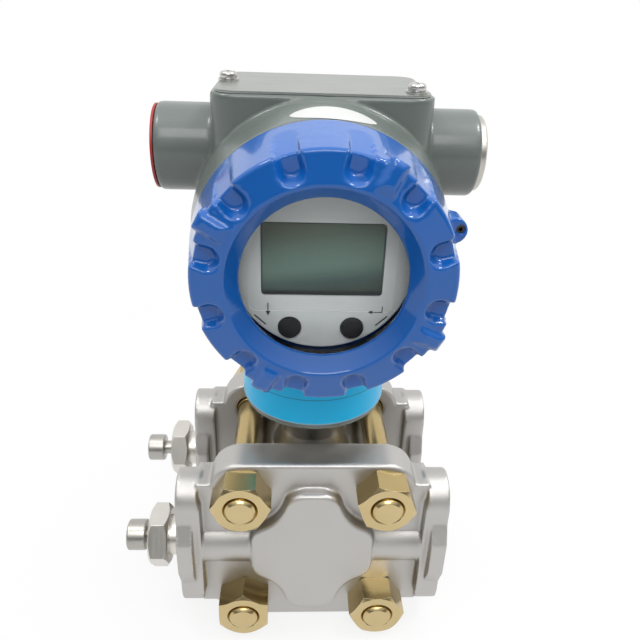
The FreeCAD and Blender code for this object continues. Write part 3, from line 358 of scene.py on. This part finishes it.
def plain_copy(node, name):
    """A copy of a CAD solid with its flat faces whole."""
    piece = copied(node, name)
    bpy.ops.object.mode_set(mode="EDIT")
    bpy.ops.mesh.select_all(action="SELECT")
    bpy.ops.mesh.dissolve_limited(angle_limit=math.radians(0.5))
    bpy.ops.object.mode_set(mode="OBJECT")
    return piece


def edges_broken(piece, width, segments=2):
    """Breaks the sharp edges of a piece by a small bevel."""
    applied(piece, "BEVEL", width=width, segments=segments, limit_method="ANGLE",
            angle_limit=math.radians(30), use_clamp_overlap=True)
    selected_alone(piece)
    bpy.ops.object.shade_smooth_by_angle(angle=math.radians(38))
    applied(piece, "WEIGHTED_NORMAL", keep_sharp=True)


def crisp_copy(node, name, width, segments=2):
    """A copy of a CAD solid with its sharp edges broken."""
    piece = plain_copy(node, name)
    edges_broken(piece, width, segments)
    return piece


zinc, tree, shader = new_material("Yellow zinc plate", Metallic=1.0)
skin = grouped(tree, grain, Frequency=1500.0, Broad_frequency=70.0)
edges = grouped(tree, wear_and_sheen, Width=0.5 * MM, Amount=0.9)
geometry = node_in(tree, "ShaderNodeNewGeometry")
facing = node_in(tree, "ShaderNodeSeparateXYZ", {0: geometry.outputs["Normal"]})
end_face = ranged(tree, facing.outputs["Y"], 1.0, 0.0, start=-0.85, end=-0.35)
bloom = mixed(tree, skin.outputs["Broad"], (0.46, 0.32, 0.14, 1), (0.56, 0.47, 0.23, 1))
brass = mixed(tree, skin.outputs["Broad"], (0.54, 0.42, 0.21, 1), (0.64, 0.52, 0.29, 1))
tone = mixed(tree, end_face, bloom, brass)
tone = mixed(tree, edges.outputs["Mask"], tone, (0.90, 0.76, 0.48, 1))
tree.links.new(tone, shader.inputs["Base Color"])
tree.links.new(ranged(tree, skin.outputs["Fine"], 0.20, 0.26), shader.inputs["Roughness"])
bumped(tree, shader, skin.outputs["Fine"], strength=0.05, distance=0.05 * MM)

# A nut's face is chamfered to a circle as wide as its flats. The nut is cut to a round blank, which
# is wider than its corners and has a coned front end.
BLANK_RADIUS = 11.4 * MM
FACE_RADIUS = 9.3 * MM
CHAMFER_DEPTH = 1.2 * MM


def coned_blank(low, high):
    """The round blank for the nut whose box has these two corners."""
    middle = (low + high) / 2
    front_end = low.y - 0.1 * MM
    back_end = high.y + MM
    bpy.ops.object.select_all(action="DESELECT")
    bpy.ops.mesh.primitive_cylinder_add(vertices=96, radius=BLANK_RADIUS, depth=high.y - low.y,
                                        end_fill_type="NGON")
    blank = bpy.context.object
    for vertex in blank.data.vertices:
        across, up, along = vertex.co
        is_front = along > 0
        share = FACE_RADIUS / BLANK_RADIUS if is_front else 1.0
        end = front_end if is_front else back_end
        vertex.co = (middle.x + across * share, end, middle.z + up * share)
    # The side is cut round where the cone starts, and that edge is set to the full radius.
    shoulder = low.y + CHAMFER_DEPTH
    bpy.ops.object.mode_set(mode="EDIT")
    bpy.ops.mesh.select_all(action="SELECT")
    bpy.ops.mesh.bisect(plane_co=(0, shoulder, 0), plane_no=(0, 1, 0))
    bpy.ops.object.mode_set(mode="OBJECT")
    for vertex in blank.data.vertices:
        if abs(vertex.co.y - shoulder) < 0.01 * MM:
            outward = Vector((vertex.co.x - middle.x, 0, vertex.co.z - middle.z)).normalized()
            vertex.co = Vector((middle.x, vertex.co.y, middle.z)) + outward * BLANK_RADIUS
    bpy.ops.object.mode_set(mode="EDIT")
    bpy.ops.mesh.select_all(action="SELECT")
    bpy.ops.mesh.normals_make_consistent(inside=False)
    bpy.ops.object.mode_set(mode="OBJECT")
    return blank


for corner in ("top_left", "top_right", "bottom_left", "bottom_right"):
    nut = plain_copy(f"head_nut_{corner}", f"hexagon_nut_{corner}")
    blank = coned_blank(*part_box(f"head_nut_{corner}"))
    applied(nut, "BOOLEAN", operation="INTERSECT", object=blank, solver="EXACT")
    bpy.data.objects.remove(blank)
    edges_broken(nut, width=0.22 * MM)
    seated(nut, zinc, "meter", "zinc_steel", f"head_nut_{corner}")
    bolt = crisp_copy(f"head_bolt_{corner}", f"stud_bolt_{corner}", width=0.3 * MM)
    seated(bolt, zinc, "meter", "zinc_steel", f"head_bolt_{corner}")


# Vent plugs and stems. Turned from stainless bar: a hexagon bushing screwed into the head's left
# port, and a valve stem through it with a round knob.

# The bushing and the knob are one turned steel. The bushing's lighter shade is painted light and the
# knob's darker one is painted shade.
lit_vent_steel = turned_steel("Turned vent steel", frequency=(4600.0, 60.0, 60.0), shade=0.76)
shaded_stem_steel = turned_steel("Turned stem steel", frequency=(4600.0, 60.0, 60.0), shade=0.50)
for side in ("front", "rear"):
    plug = crisp_copy(f"vent_plug_{side}", f"vent_bushing_{side}", width=0.3 * MM)
    seated(plug, lit_vent_steel, "meter", "turned_steel", f"vent_plug_{side}")
    stem = crisp_copy(f"vent_stem_{side}", f"vent_knob_{side}", width=0.25 * MM)
    seated(stem, shaded_stem_steel, f"vent_stem_{side}", "turned_steel", f"vent_stem_{side}")


# Housing. One aluminium die casting with a grey powder coat: barrel, turret, two conduit bosses
# and the neck collar. The coat rounds every edge and has a fine orange peel.

grey_paint, tree, shader = new_material("Grey powder coat", Coat_Weight=0.35, Coat_Roughness=0.12)
skin = grouped(tree, grain, Frequency=620.0, Broad_frequency=30.0)
# Painted shade: within 3 mm of a hollow the coat's colour is darkened towards near black.
painted_shade = grouped(tree, corner_shade, Reach=3 * MM, Amount=0.4)
edges = grouped(tree, wear_and_sheen, Width=0.8 * MM, Amount=0.25)
tone = mixed(tree, skin.outputs["Broad"], (0.108, 0.130, 0.120, 1), (0.128, 0.150, 0.139, 1))
tone = mixed(tree, edges.outputs["Mask"], tone, (0.24, 0.26, 0.25, 1))
tone = mixed(tree, painted_shade.outputs["Mask"], tone, (0.050, 0.058, 0.054, 1))
tree.links.new(tone, shader.inputs["Base Color"])
tree.links.new(ranged(tree, skin.outputs["Fine"], 0.30, 0.40), shader.inputs["Roughness"])
bumped(tree, shader, skin.outputs["Fine"], strength=0.22, distance=0.12 * MM)

shell = soft_casting("housing", "cast_housing", voxel=0.92 * MM, passes=4)
seated(shell, grey_paint, "housing", "grey_paint", "housing")

# A bare white sticker, a pointed oval, lies on top of the barrel behind the front cap. The barrel's
# front end is a cone, and it has one axis with the window.
CONE_FRONT_RADIUS = 40.4 * MM
CONE_LENGTH = 18 * MM
CONE_GROWTH = 2.4 * MM
STICKER_ASIDE = 2.35 * MM
STICKER_SETBACK = 6.3 * MM
STICKER_HALF_LENGTH = 12.8 * MM
STICKER_HALF_WIDTH = 5.6 * MM
STICKER_THICKNESS = 0.05 * MM
STICKER_GAP = 0.04 * MM
POINTEDNESS = 1.2

sticker_white, tree, shader = new_material("White sticker", Roughness=0.35)
skin = grouped(tree, grain, Frequency=700.0, Broad_frequency=120.0)
tone = mixed(tree, skin.outputs["Broad"], (0.50, 0.51, 0.50, 1), (0.58, 0.59, 0.58, 1))
tree.links.new(tone, shader.inputs["Base Color"])
bpy.ops.object.select_all(action="DESELECT")
bpy.ops.mesh.primitive_grid_add(x_subdivisions=48, y_subdivisions=10, size=2.0)
sticker = bpy.context.object
sticker.name = "oval_sticker"
low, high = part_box("window_glass")
axis = (low + high) / 2
barrel_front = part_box("housing")[0].y
for vertex in sticker.data.vertices:
    angle = math.radians(90) * vertex.co.x
    width_here = STICKER_HALF_WIDTH * math.cos(angle) ** POINTEDNESS
    across = STICKER_ASIDE + STICKER_HALF_LENGTH * math.sin(angle)
    setback = STICKER_SETBACK + width_here * vertex.co.y
    radius = CONE_FRONT_RADIUS + setback / CONE_LENGTH * CONE_GROWTH + STICKER_GAP
    height = math.sqrt(radius * radius - across * across)
    vertex.co = (axis.x + across, barrel_front + setback, axis.z + height)
bpy.ops.object.mode_set(mode="EDIT")
bpy.ops.mesh.select_all(action="SELECT")
bpy.ops.mesh.remove_doubles(threshold=0.01 * MM)
bpy.ops.object.mode_set(mode="OBJECT")
applied(sticker, "SOLIDIFY", thickness=STICKER_THICKNESS, offset=1.0)
bpy.ops.object.shade_smooth_by_angle(angle=math.radians(38))
seated(sticker, sticker_white, "housing", "light_plastic")


# Caps. Aluminium castings with a glossy blue enamel, screwed into the barrel's two ends. Twelve
# scallops give a grip, four lugs take a wrench, and an ear holds the lock screw.

blue_paint, tree, shader = new_material("Blue enamel", Coat_Weight=1.0, Coat_Roughness=0.08,
                                        Specular_IOR_Level=0.1)
skin = grouped(tree, grain, Frequency=420.0, Broad_frequency=35.0)
# Painted highlight: the pale blue along the edges stands for the gloss lit on the rounded lips of
# the scallops and lugs.
edges = grouped(tree, wear_and_sheen, Width=0.7 * MM, Amount=0.4)
tone = mixed(tree, skin.outputs["Broad"], (0.003, 0.092, 0.370, 1), (0.005, 0.106, 0.420, 1))
tone = mixed(tree, edges.outputs["Mask"], tone, (0.16, 0.38, 0.70, 1))
tree.links.new(tone, shader.inputs["Base Color"])
tree.links.new(ranged(tree, skin.outputs["Fine"], 0.30, 0.40), shader.inputs["Roughness"])
bumped(tree, shader, skin.outputs["Fine"], strength=0.12, distance=0.12 * MM)

for side in ("front", "rear"):
    cap = soft_casting(f"{side}_cap", f"{side}_screw_cap", voxel=0.55 * MM, passes=4)
    seated(cap, blue_paint, f"{side}_cap", "blue_paint", f"{side}_cap")


# Seals. Moulded rings of black rubber in the grooves of the caps' threads, and the window's gasket,
# which is punched from flat rubber.

rubber, tree, shader = new_material("Black rubber", Roughness=0.55)
skin = grouped(tree, grain, Frequency=1500.0, Broad_frequency=80.0)
tone = mixed(tree, skin.outputs["Broad"], (0.012, 0.012, 0.012, 1), (0.030, 0.030, 0.029, 1))
tree.links.new(tone, shader.inputs["Base Color"])
bumped(tree, shader, skin.outputs["Fine"], strength=0.2, distance=0.05 * MM)
dressed(rubber, "black_rubber", "front_cap_seal", "rear_cap_seal", "window_gasket")


# Window. A disc of toughened glass that closes the front cap's opening. A threaded ring of
# blackened metal holds it against its gasket.

glass, tree, shader = new_material("Window glass", Roughness=0.0, IOR=1.2, Transmission_Weight=1.0)
skin = grouped(tree, grain, Frequency=300.0, Broad_frequency=20.0)
tone = mixed(tree, skin.outputs["Broad"], (0.93, 0.96, 0.95, 1), (0.98, 1.0, 0.99, 1))
tree.links.new(tone, shader.inputs["Base Color"])
dressed(glass, "window", "window_glass")
nodes["window_glass"].visible_shadow = False

black_metal, tree, shader = new_material("Blackened metal", Metallic=1.0)
skin = grouped(tree, grain, Frequency=1500.0, Broad_frequency=150.0)
edges = grouped(tree, wear_and_sheen, Width=0.3 * MM, Amount=0.8)
tone = mixed(tree, skin.outputs["Broad"], (0.030, 0.030, 0.032, 1), (0.060, 0.060, 0.062, 1))
tone = mixed(tree, edges.outputs["Mask"], tone, (0.30, 0.29, 0.28, 1))
tree.links.new(tone, shader.inputs["Base Color"])
tree.links.new(ranged(tree, skin.outputs["Broad"], 0.32, 0.48), shader.inputs["Roughness"])
dressed(black_metal, "black_metal", "window_retainer")


# Lock screws and the neck's set screw. Small hexagon socket screws of blackened steel. They keep
# the caps from unscrewing, and hold the housing at its angle on the neck.

dressed(black_metal, "black_metal", "front_lock_screw", "rear_lock_screw", "neck_set_screw")


# Display. A moulded silver grey face with a liquid crystal panel in a sunk frame, and two round
# black buttons below it, all carried by a round circuit board on the electronics module.

light_plastic, tree, shader = new_material("Silver grey moulding", Coat_Weight=0.2)
skin = grouped(tree, grain, Frequency=3000.0, Broad_frequency=50.0)
tone = mixed(tree, skin.outputs["Broad"], (0.56, 0.57, 0.57, 1), (0.64, 0.65, 0.65, 1))
tree.links.new(tone, shader.inputs["Base Color"])
tree.links.new(ranged(tree, skin.outputs["Fine"], 0.38, 0.50), shader.inputs["Roughness"])
bumped(tree, shader, skin.outputs["Fine"], strength=0.15, distance=0.04 * MM)
bezel = plain_copy("display_bezel", "display_face")
# The screen's opening has moulded round corners, found by their place near the screen's own.
low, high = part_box("display_screen")
screen_corners = [(x, z) for x in (low.x, high.x) for z in (low.z, high.z)]
bpy.ops.object.mode_set(mode="EDIT")
bpy.ops.mesh.select_mode(type="EDGE")
bpy.ops.mesh.select_all(action="DESELECT")
bpy.ops.object.mode_set(mode="OBJECT")
for edge in bezel.data.edges:
    start, end = (bezel.data.vertices[index].co for index in edge.vertices)
    runs_inwards = abs(start.x - end.x) + abs(start.z - end.z) < 0.01 * MM
    near = any(abs(start.x - x) + abs(start.z - z) < 0.5 * MM for x, z in screen_corners)
    edge.select = runs_inwards and near
bpy.ops.object.mode_set(mode="EDIT")
bpy.ops.mesh.bevel(offset=1.3 * MM, segments=6, affect="EDGES")
bpy.ops.object.mode_set(mode="OBJECT")
edges_broken(bezel, width=0.3 * MM)
seated(bezel, light_plastic, "housing", "light_plastic", "display_bezel")

screen, tree, shader = new_material("Liquid crystal panel", Roughness=0.3, Coat_Weight=0.1,
                                    Specular_IOR_Level=0.15)
# The panel is darker towards its top and bottom, and the shades lean a little to one side.
low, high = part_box("display_screen")
place = node_in(tree, "ShaderNodeTexCoord")
axes = node_in(tree, "ShaderNodeSeparateXYZ", {0: place.outputs["Object"]})
along = ranged(tree, axes.outputs["X"], -0.10, 0.10, start=low.x, end=high.x)
height = ranged(tree, axes.outputs["Z"], 0.0, 1.0, start=low.z, end=high.z)
slanted = node_in(tree, "ShaderNodeMath", {0: height, 1: along}, operation="SUBTRACT")
skin = grouped(tree, grain, Frequency=2500.0, Broad_frequency=28.0)
shades = node_in(tree, "ShaderNodeValToRGB", {"Fac": slanted.outputs["Value"]})
shades.color_ramp.elements[0].color = (0.008, 0.016, 0.016, 1)
shades.color_ramp.elements[1].color = (0.080, 0.090, 0.064, 1)
for position, colour in (
    (0.18, (0.030, 0.058, 0.058, 1)),
    (0.42, (0.120, 0.195, 0.168, 1)),
    (0.62, (0.115, 0.178, 0.150, 1)),
    (0.85, (0.086, 0.112, 0.088, 1)),
):
    shades.color_ramp.elements.new(position).color = colour
tone = mixed(tree, ranged(tree, skin.outputs["Broad"], 0.0, 0.3), shades.outputs["Color"],
             (0.15, 0.20, 0.16, 1))
# The black edge is wider at the bottom, where the panel's seal shows.
seal = ranged(tree, axes.outputs["Z"], 1.0, 0.0, start=low.z + 0.9 * MM, end=low.z + 1.9 * MM)
for axis, outside, inside in (("Z", high.z - 0.05 * MM, high.z - 0.6 * MM),
                              ("X", low.x + 0.05 * MM, low.x + 0.6 * MM),
                              ("X", high.x - 0.05 * MM, high.x - 0.6 * MM)):
    strip = ranged(tree, axes.outputs[axis], 1.0, 0.0, start=outside, end=inside)
    both = node_in(tree, "ShaderNodeMath", {0: seal, 1: strip}, operation="MAXIMUM")
    seal = both.outputs["Value"]
tone = mixed(tree, seal, tone, (0.008, 0.011, 0.012, 1))
tree.links.new(tone, shader.inputs["Base Color"])
dressed(screen, "screen", "display_screen")

green_board, tree, shader = new_material("Green circuit board", Roughness=0.35)
skin = grouped(tree, grain, Frequency=500.0, Broad_frequency=150.0)
tone = mixed(tree, skin.outputs["Broad"], (0.010, 0.075, 0.030, 1), (0.016, 0.120, 0.050, 1))
tree.links.new(tone, shader.inputs["Base Color"])
bumped(tree, shader, skin.outputs["Fine"], strength=0.15, distance=0.05 * MM)
dressed(green_board, "green_board", "display_board")

dark_plastic, tree, shader = new_material("Dark moulding", Specular_IOR_Level=0.12)
skin = grouped(tree, grain, Frequency=2400.0, Broad_frequency=90.0)
tone = mixed(tree, skin.outputs["Broad"], (0.006, 0.007, 0.008, 1), (0.012, 0.013, 0.014, 1))
tree.links.new(tone, shader.inputs["Base Color"])
tree.links.new(ranged(tree, skin.outputs["Fine"], 0.38, 0.52), shader.inputs["Roughness"])
bumped(tree, shader, skin.outputs["Fine"], strength=0.2, distance=0.04 * MM)
dressed(dark_plastic, "dark_plastic", "electronics_module", "terminal_block")
for name in ("menu", "enter"):
    button = crisp_copy(f"{name}_button", f"{name}_push_button", width=0.35 * MM, segments=3)
    seated(button, dark_plastic, f"{name}_button", "dark_plastic", f"{name}_button")

# Plain black marks are printed by the buttons: a down arrow, a return arrow and two slots. Their
# corners are in millimetres from the middle of a button, to the right and up.
black_ink, tree, shader = new_material("Black ink", Roughness=0.6)
skin = grouped(tree, grain, Frequency=3000.0, Broad_frequency=400.0)
tone = mixed(tree, skin.outputs["Broad"], (0.010, 0.010, 0.011, 1), (0.020, 0.020, 0.021, 1))
tree.links.new(tone, shader.inputs["Base Color"])
INK_THICKNESS = 0.03 * MM
SLOT_ASIDE = 9.05
SLOT_RISE = 2.6
SLOT_SLOPE = math.radians(43)
SLOT_HALF_LENGTH = 2.4
SLOT_HALF_WIDTH = 0.22
low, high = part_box("display_bezel")
ink_face = low.y - INK_THICKNESS


def printed(name, button, corners):
    """A flat mark on the display's face, with its corners placed from the middle of a button."""
    low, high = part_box(button)
    middle = (low + high) / 2
    bpy.ops.object.select_all(action="DESELECT")
    bpy.ops.mesh.primitive_circle_add(vertices=len(corners), fill_type="NGON")
    mark = bpy.context.object
    mark.name = name
    for vertex, (x, z) in zip(mark.data.vertices, corners):
        vertex.co = (middle.x + x * MM, ink_face, middle.z + z * MM)
    applied(mark, "SOLIDIFY", thickness=INK_THICKNESS)
    seated(mark, black_ink, "housing", "dark_plastic")


printed("down_arrow", "menu_button", [
    (-6.77, 8.4), (-6.77, 5.6), (-7.40, 5.6), (-6.62, 4.0), (-5.84, 5.6), (-6.47, 5.6), (-6.47, 8.4),
])
printed("return_arrow", "enter_button", [
    (8.90, 7.6), (8.90, 5.7), (6.05, 5.7), (6.05, 6.2), (4.55, 5.55), (6.05, 4.9), (6.05, 5.4),
    (9.20, 5.4), (9.20, 7.6),
])
for name, button, outward in (("left_slot", "menu_button", -1), ("right_slot", "enter_button", 1)):
    place = Vector((outward * SLOT_ASIDE, SLOT_RISE))
    along = Vector((outward * math.cos(SLOT_SLOPE), math.sin(SLOT_SLOPE)))
    aside = Vector((-along.y, along.x)) * SLOT_HALF_WIDTH
    reach = along * SLOT_HALF_LENGTH
    ends = (reach + aside, aside - reach, -reach - aside, reach - aside)
    printed(name, button, [place + end for end in ends])


# Terminals. Three pan head screws of bright plated steel in the wells of the terminal block. Each
# would clamp one wire.

bright_metal, tree, shader = new_material("Bright plated steel", Metallic=1.0)
skin = grouped(tree, grain, Frequency=1500.0, Broad_frequency=140.0)
edges = grouped(tree, wear_and_sheen, Width=0.25 * MM, Amount=0.8)
tone = mixed(tree, skin.outputs["Broad"], (0.50, 0.49, 0.47, 1), (0.66, 0.65, 0.63, 1))
tone = mixed(tree, edges.outputs["Mask"], tone, (0.86, 0.85, 0.83, 1))
tree.links.new(tone, shader.inputs["Base Color"])
tree.links.new(ranged(tree, skin.outputs["Fine"], 0.18, 0.26), shader.inputs["Roughness"])
dressed(bright_metal, "bright_metal", "terminal_screw_left", "terminal_screw_middle",
        "terminal_screw_right")


# Name plate. A bare plate of brushed stainless steel, punched from sheet. It lies on the turret's
# flat top, and a screw with a washer holds it at each side.

plate_steel, tree, shader = new_material("Brushed plate steel", Metallic=1.0)
brushed = grouped(tree, marks, Frequency=(40.0, 5200.0, 40.0))
skin = grouped(tree, grain, Frequency=900.0, Broad_frequency=60.0)
tone = mixed(tree, skin.outputs["Broad"], (0.33, 0.35, 0.33, 1), (0.42, 0.44, 0.41, 1))
tree.links.new(tone, shader.inputs["Base Color"])
tree.links.new(ranged(tree, brushed.outputs["Height"], 0.28, 0.46), shader.inputs["Roughness"])
bumped(tree, shader, brushed.outputs["Height"], strength=0.3, distance=0.02 * MM)
plate = crisp_copy("name_plate", "steel_plate", width=0.15 * MM)
seated(plate, plate_steel, "housing", "plate", "name_plate")
for side in ("left", "right"):
    washer = crisp_copy(f"plate_washer_{side}", f"flat_washer_{side}", width=0.12 * MM)
    seated(washer, bright_metal, "housing", "bright_metal", f"plate_washer_{side}")
    screw = crisp_copy(f"plate_screw_{side}", f"pan_screw_{side}", width=0.1 * MM)
    seated(screw, bright_metal, "housing", "bright_metal", f"plate_screw_{side}")


# Conduit entries. A plug turned from metal is screwed into the right one. A dust plug moulded in
# red plastic closes the left one, where the cable will enter.

plug_steel = turned_steel("Turned conduit plug", frequency=(60.0, 2600.0, 2600.0), shade=0.6)
dressed(plug_steel, "turned_steel", "conduit_plug")
red_plastic, tree, shader = new_material("Red moulding", Roughness=0.42)
skin = grouped(tree, grain, Frequency=1200.0, Broad_frequency=60.0)
tone = mixed(tree, skin.outputs["Broad"], (0.30, 0.018, 0.015, 1), (0.38, 0.026, 0.020, 1))
tree.links.new(tone, shader.inputs["Base Color"])
bumped(tree, shader, skin.outputs["Fine"], strength=0.15, distance=0.05 * MM)
dressed(red_plastic, "red_plastic", "dust_plug")


# Neck label. A cyan polyester film, bare but for one thin printed line. It is wrapped round the
# front and sides of the housing's collar, and held by its glue.

LINE_DROP = 11.4 * MM
film, tree, shader = new_material("Cyan film", Roughness=0.3, Coat_Weight=0.1,
                                  Specular_IOR_Level=0.2)
skin = grouped(tree, grain, Frequency=260.0, Broad_frequency=50.0)
tone = mixed(tree, skin.outputs["Broad"], (0.001, 0.410, 0.740, 1), (0.002, 0.500, 0.860, 1))
low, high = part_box("neck_label")
place = node_in(tree, "ShaderNodeTexCoord")
axes = node_in(tree, "ShaderNodeSeparateXYZ", {0: place.outputs["Object"]})
above_line = node_in(tree, "ShaderNodeMath", {
    0: axes.outputs["Z"],
    1: high.z - LINE_DROP,
}, operation="SUBTRACT")
away = node_in(tree, "ShaderNodeMath", {0: above_line.outputs["Value"]}, operation="ABSOLUTE")
printed_line = ranged(tree, away.outputs["Value"], 0.75, 0.0, start=0.10 * MM, end=0.22 * MM)
tone = mixed(tree, printed_line, tone, (0.010, 0.075, 0.130, 1))
# The film's cut lower edge is paler.
border = ranged(tree, axes.outputs["Z"], 0.8, 0.0, start=low.z + 0.35 * MM, end=low.z + 0.6 * MM)
tone = mixed(tree, border, tone, (0.30, 0.42, 0.46, 1))
tree.links.new(tone, shader.inputs["Base Color"])
bumped(tree, shader, skin.outputs["Fine"], strength=0.08, distance=0.1 * MM)
dressed(film, "film", "neck_label")


# Stage. A plain pale sheet under an even sky. The camera, metal and glass see the sheet and the sky
# behind the object as white, and the sheet keeps a faint shadow. The room in front is greyer.

def reflected(tree, rays):
    """Tells whether a ray comes from a mirroring or a clear surface."""
    either = node_in(tree, "ShaderNodeMath", {
        0: rays.outputs["Is Glossy Ray"],
        1: rays.outputs["Is Transmission Ray"],
    }, operation="ADD")
    return either.outputs["Value"]


bpy.ops.object.select_all(action="DESELECT")
bpy.ops.mesh.primitive_plane_add(size=6.0, location=(0, 0, 0))
floor = bpy.context.object
floor.name = "floor"
pale, tree, shader = new_material("Pale floor", Roughness=0.9)
place = node_in(tree, "ShaderNodeTexCoord")
distance = node_in(tree, "ShaderNodeVectorMath", {0: place.outputs["Object"]}, operation="LENGTH")
far = ranged(tree, distance.outputs["Value"], 0.0, 1.0, start=0.16, end=0.45)
tree.links.new(mixed(tree, far, (0.72, 0.72, 0.72, 1), (0.30, 0.30, 0.30, 1)),
               shader.inputs["Base Color"])
glow = node_in(tree, "ShaderNodeEmission", {"Strength": 1.0})
rays = node_in(tree, "ShaderNodeLightPath")
direct = node_in(tree, "ShaderNodeMath", {
    0: reflected(tree, rays),
    1: rays.outputs["Is Camera Ray"],
}, operation="ADD", use_clamp=True)
whiteness = node_in(tree, "ShaderNodeMath", {
    0: direct.outputs["Value"],
    1: ranged(tree, distance.outputs["Value"], 0.82, 1.0, start=0.08, end=0.30),
}, operation="MULTIPLY")
blend = node_in(tree, "ShaderNodeMixShader", {
    0: whiteness.outputs["Value"],
    1: shader.outputs["BSDF"],
    2: glow.outputs["Emission"],
})
tree.links.new(blend.outputs["Shader"], tree.nodes["Material Output"].inputs["Surface"])
floor.data.materials.append(pale)

world = bpy.data.worlds.new("White studio")
bpy.context.scene.world = world
world.use_nodes = True
tree = world.node_tree
background = tree.nodes["Background"]
rays = node_in(tree, "ShaderNodeLightPath")
place = node_in(tree, "ShaderNodeTexCoord")
axes = node_in(tree, "ShaderNodeSeparateXYZ", {0: place.outputs["Generated"]})
around = ranged(tree, axes.outputs["Y"], 0.14, 0.55, start=-0.6, end=0.5)
above = ranged(tree, axes.outputs["Z"], 0.0, 1.2, start=0.2, end=0.9)
sky = node_in(tree, "ShaderNodeMath", {0: around, 1: above}, operation="ADD")
behind = node_in(tree, "ShaderNodeMath", {
    0: reflected(tree, rays),
    1: ranged(tree, axes.outputs["Y"], 0.0, 1.0, start=-0.1, end=0.5),
}, operation="MULTIPLY")
white = node_in(tree, "ShaderNodeMath", {
    0: behind.outputs["Value"],
    1: rays.outputs["Is Camera Ray"],
}, operation="ADD", use_clamp=True)
seen = node_in(tree, "ShaderNodeMix", {
    "Factor": white.outputs["Value"],
    "A": sky.outputs["Value"],
    "B": 1.0,
}, data_type="FLOAT")
tree.links.new(seen.outputs["Result"], background.inputs["Strength"])
background.inputs["Color"].default_value = (1, 1, 1, 1)


# Lamps. Two small soft lamps stand high at the sides, the right one twice as strong. A wide faint
# panel hangs above and behind the camera.

def soft_panel(name, place, target, width, height, power):
    """A rectangular lamp at a place, turned towards a target."""
    lamp = bpy.data.lights.new(name, "AREA")
    lamp.shape = "RECTANGLE"
    lamp.size = width
    lamp.size_y = height
    lamp.energy = power
    panel = bpy.data.objects.new(name, lamp)
    bpy.context.scene.collection.objects.link(panel)
    panel.location = place
    panel.rotation_mode = "QUATERNION"
    panel.rotation_quaternion = (Vector(target) - Vector(place)).to_track_quat("-Z", "Y")


aim = (0.0, 0.0, 0.12)
soft_panel("left_lamp", (-0.36, -0.04, 0.78), aim, width=0.14, height=0.16, power=1.0)
soft_panel("right_lamp", (0.42, -0.04, 0.78), aim, width=0.14, height=0.16, power=2.0)
soft_panel("front_panel", (0.0, -0.70, 0.90), aim, width=0.6, height=0.4, power=3.2)


# Camera. At the photograph's place and angle, in front of the front cap and above the turret,
# looking down.

CAMERA_PLACE = Vector((-0.787, -224.164, 233.671)) * MM
PITCH = math.radians(27.47)
YAW = math.radians(3.04)
ROLL = math.radians(2.11)
forward = Vector((
    math.sin(YAW) * math.cos(PITCH),
    math.cos(YAW) * math.cos(PITCH),
    -math.sin(PITCH),
))
level_right = Vector((math.cos(YAW), -math.sin(YAW), 0))
level_up = level_right.cross(forward)
right = math.cos(ROLL) * level_right + math.sin(ROLL) * level_up
up = -math.sin(ROLL) * level_right + math.cos(ROLL) * level_up
lens = bpy.data.cameras.new("camera")
lens.sensor_width = 36.0
lens.lens = 36.17
lens.clip_start = 0.01
lens.clip_end = 20.0
camera = bpy.data.objects.new("camera", lens)
bpy.context.scene.collection.objects.link(camera)
turn = Matrix((right, up, -forward)).transposed().to_4x4()
camera.matrix_world = Matrix.Translation(CAMERA_PLACE) @ turn
bpy.context.scene.camera = camera
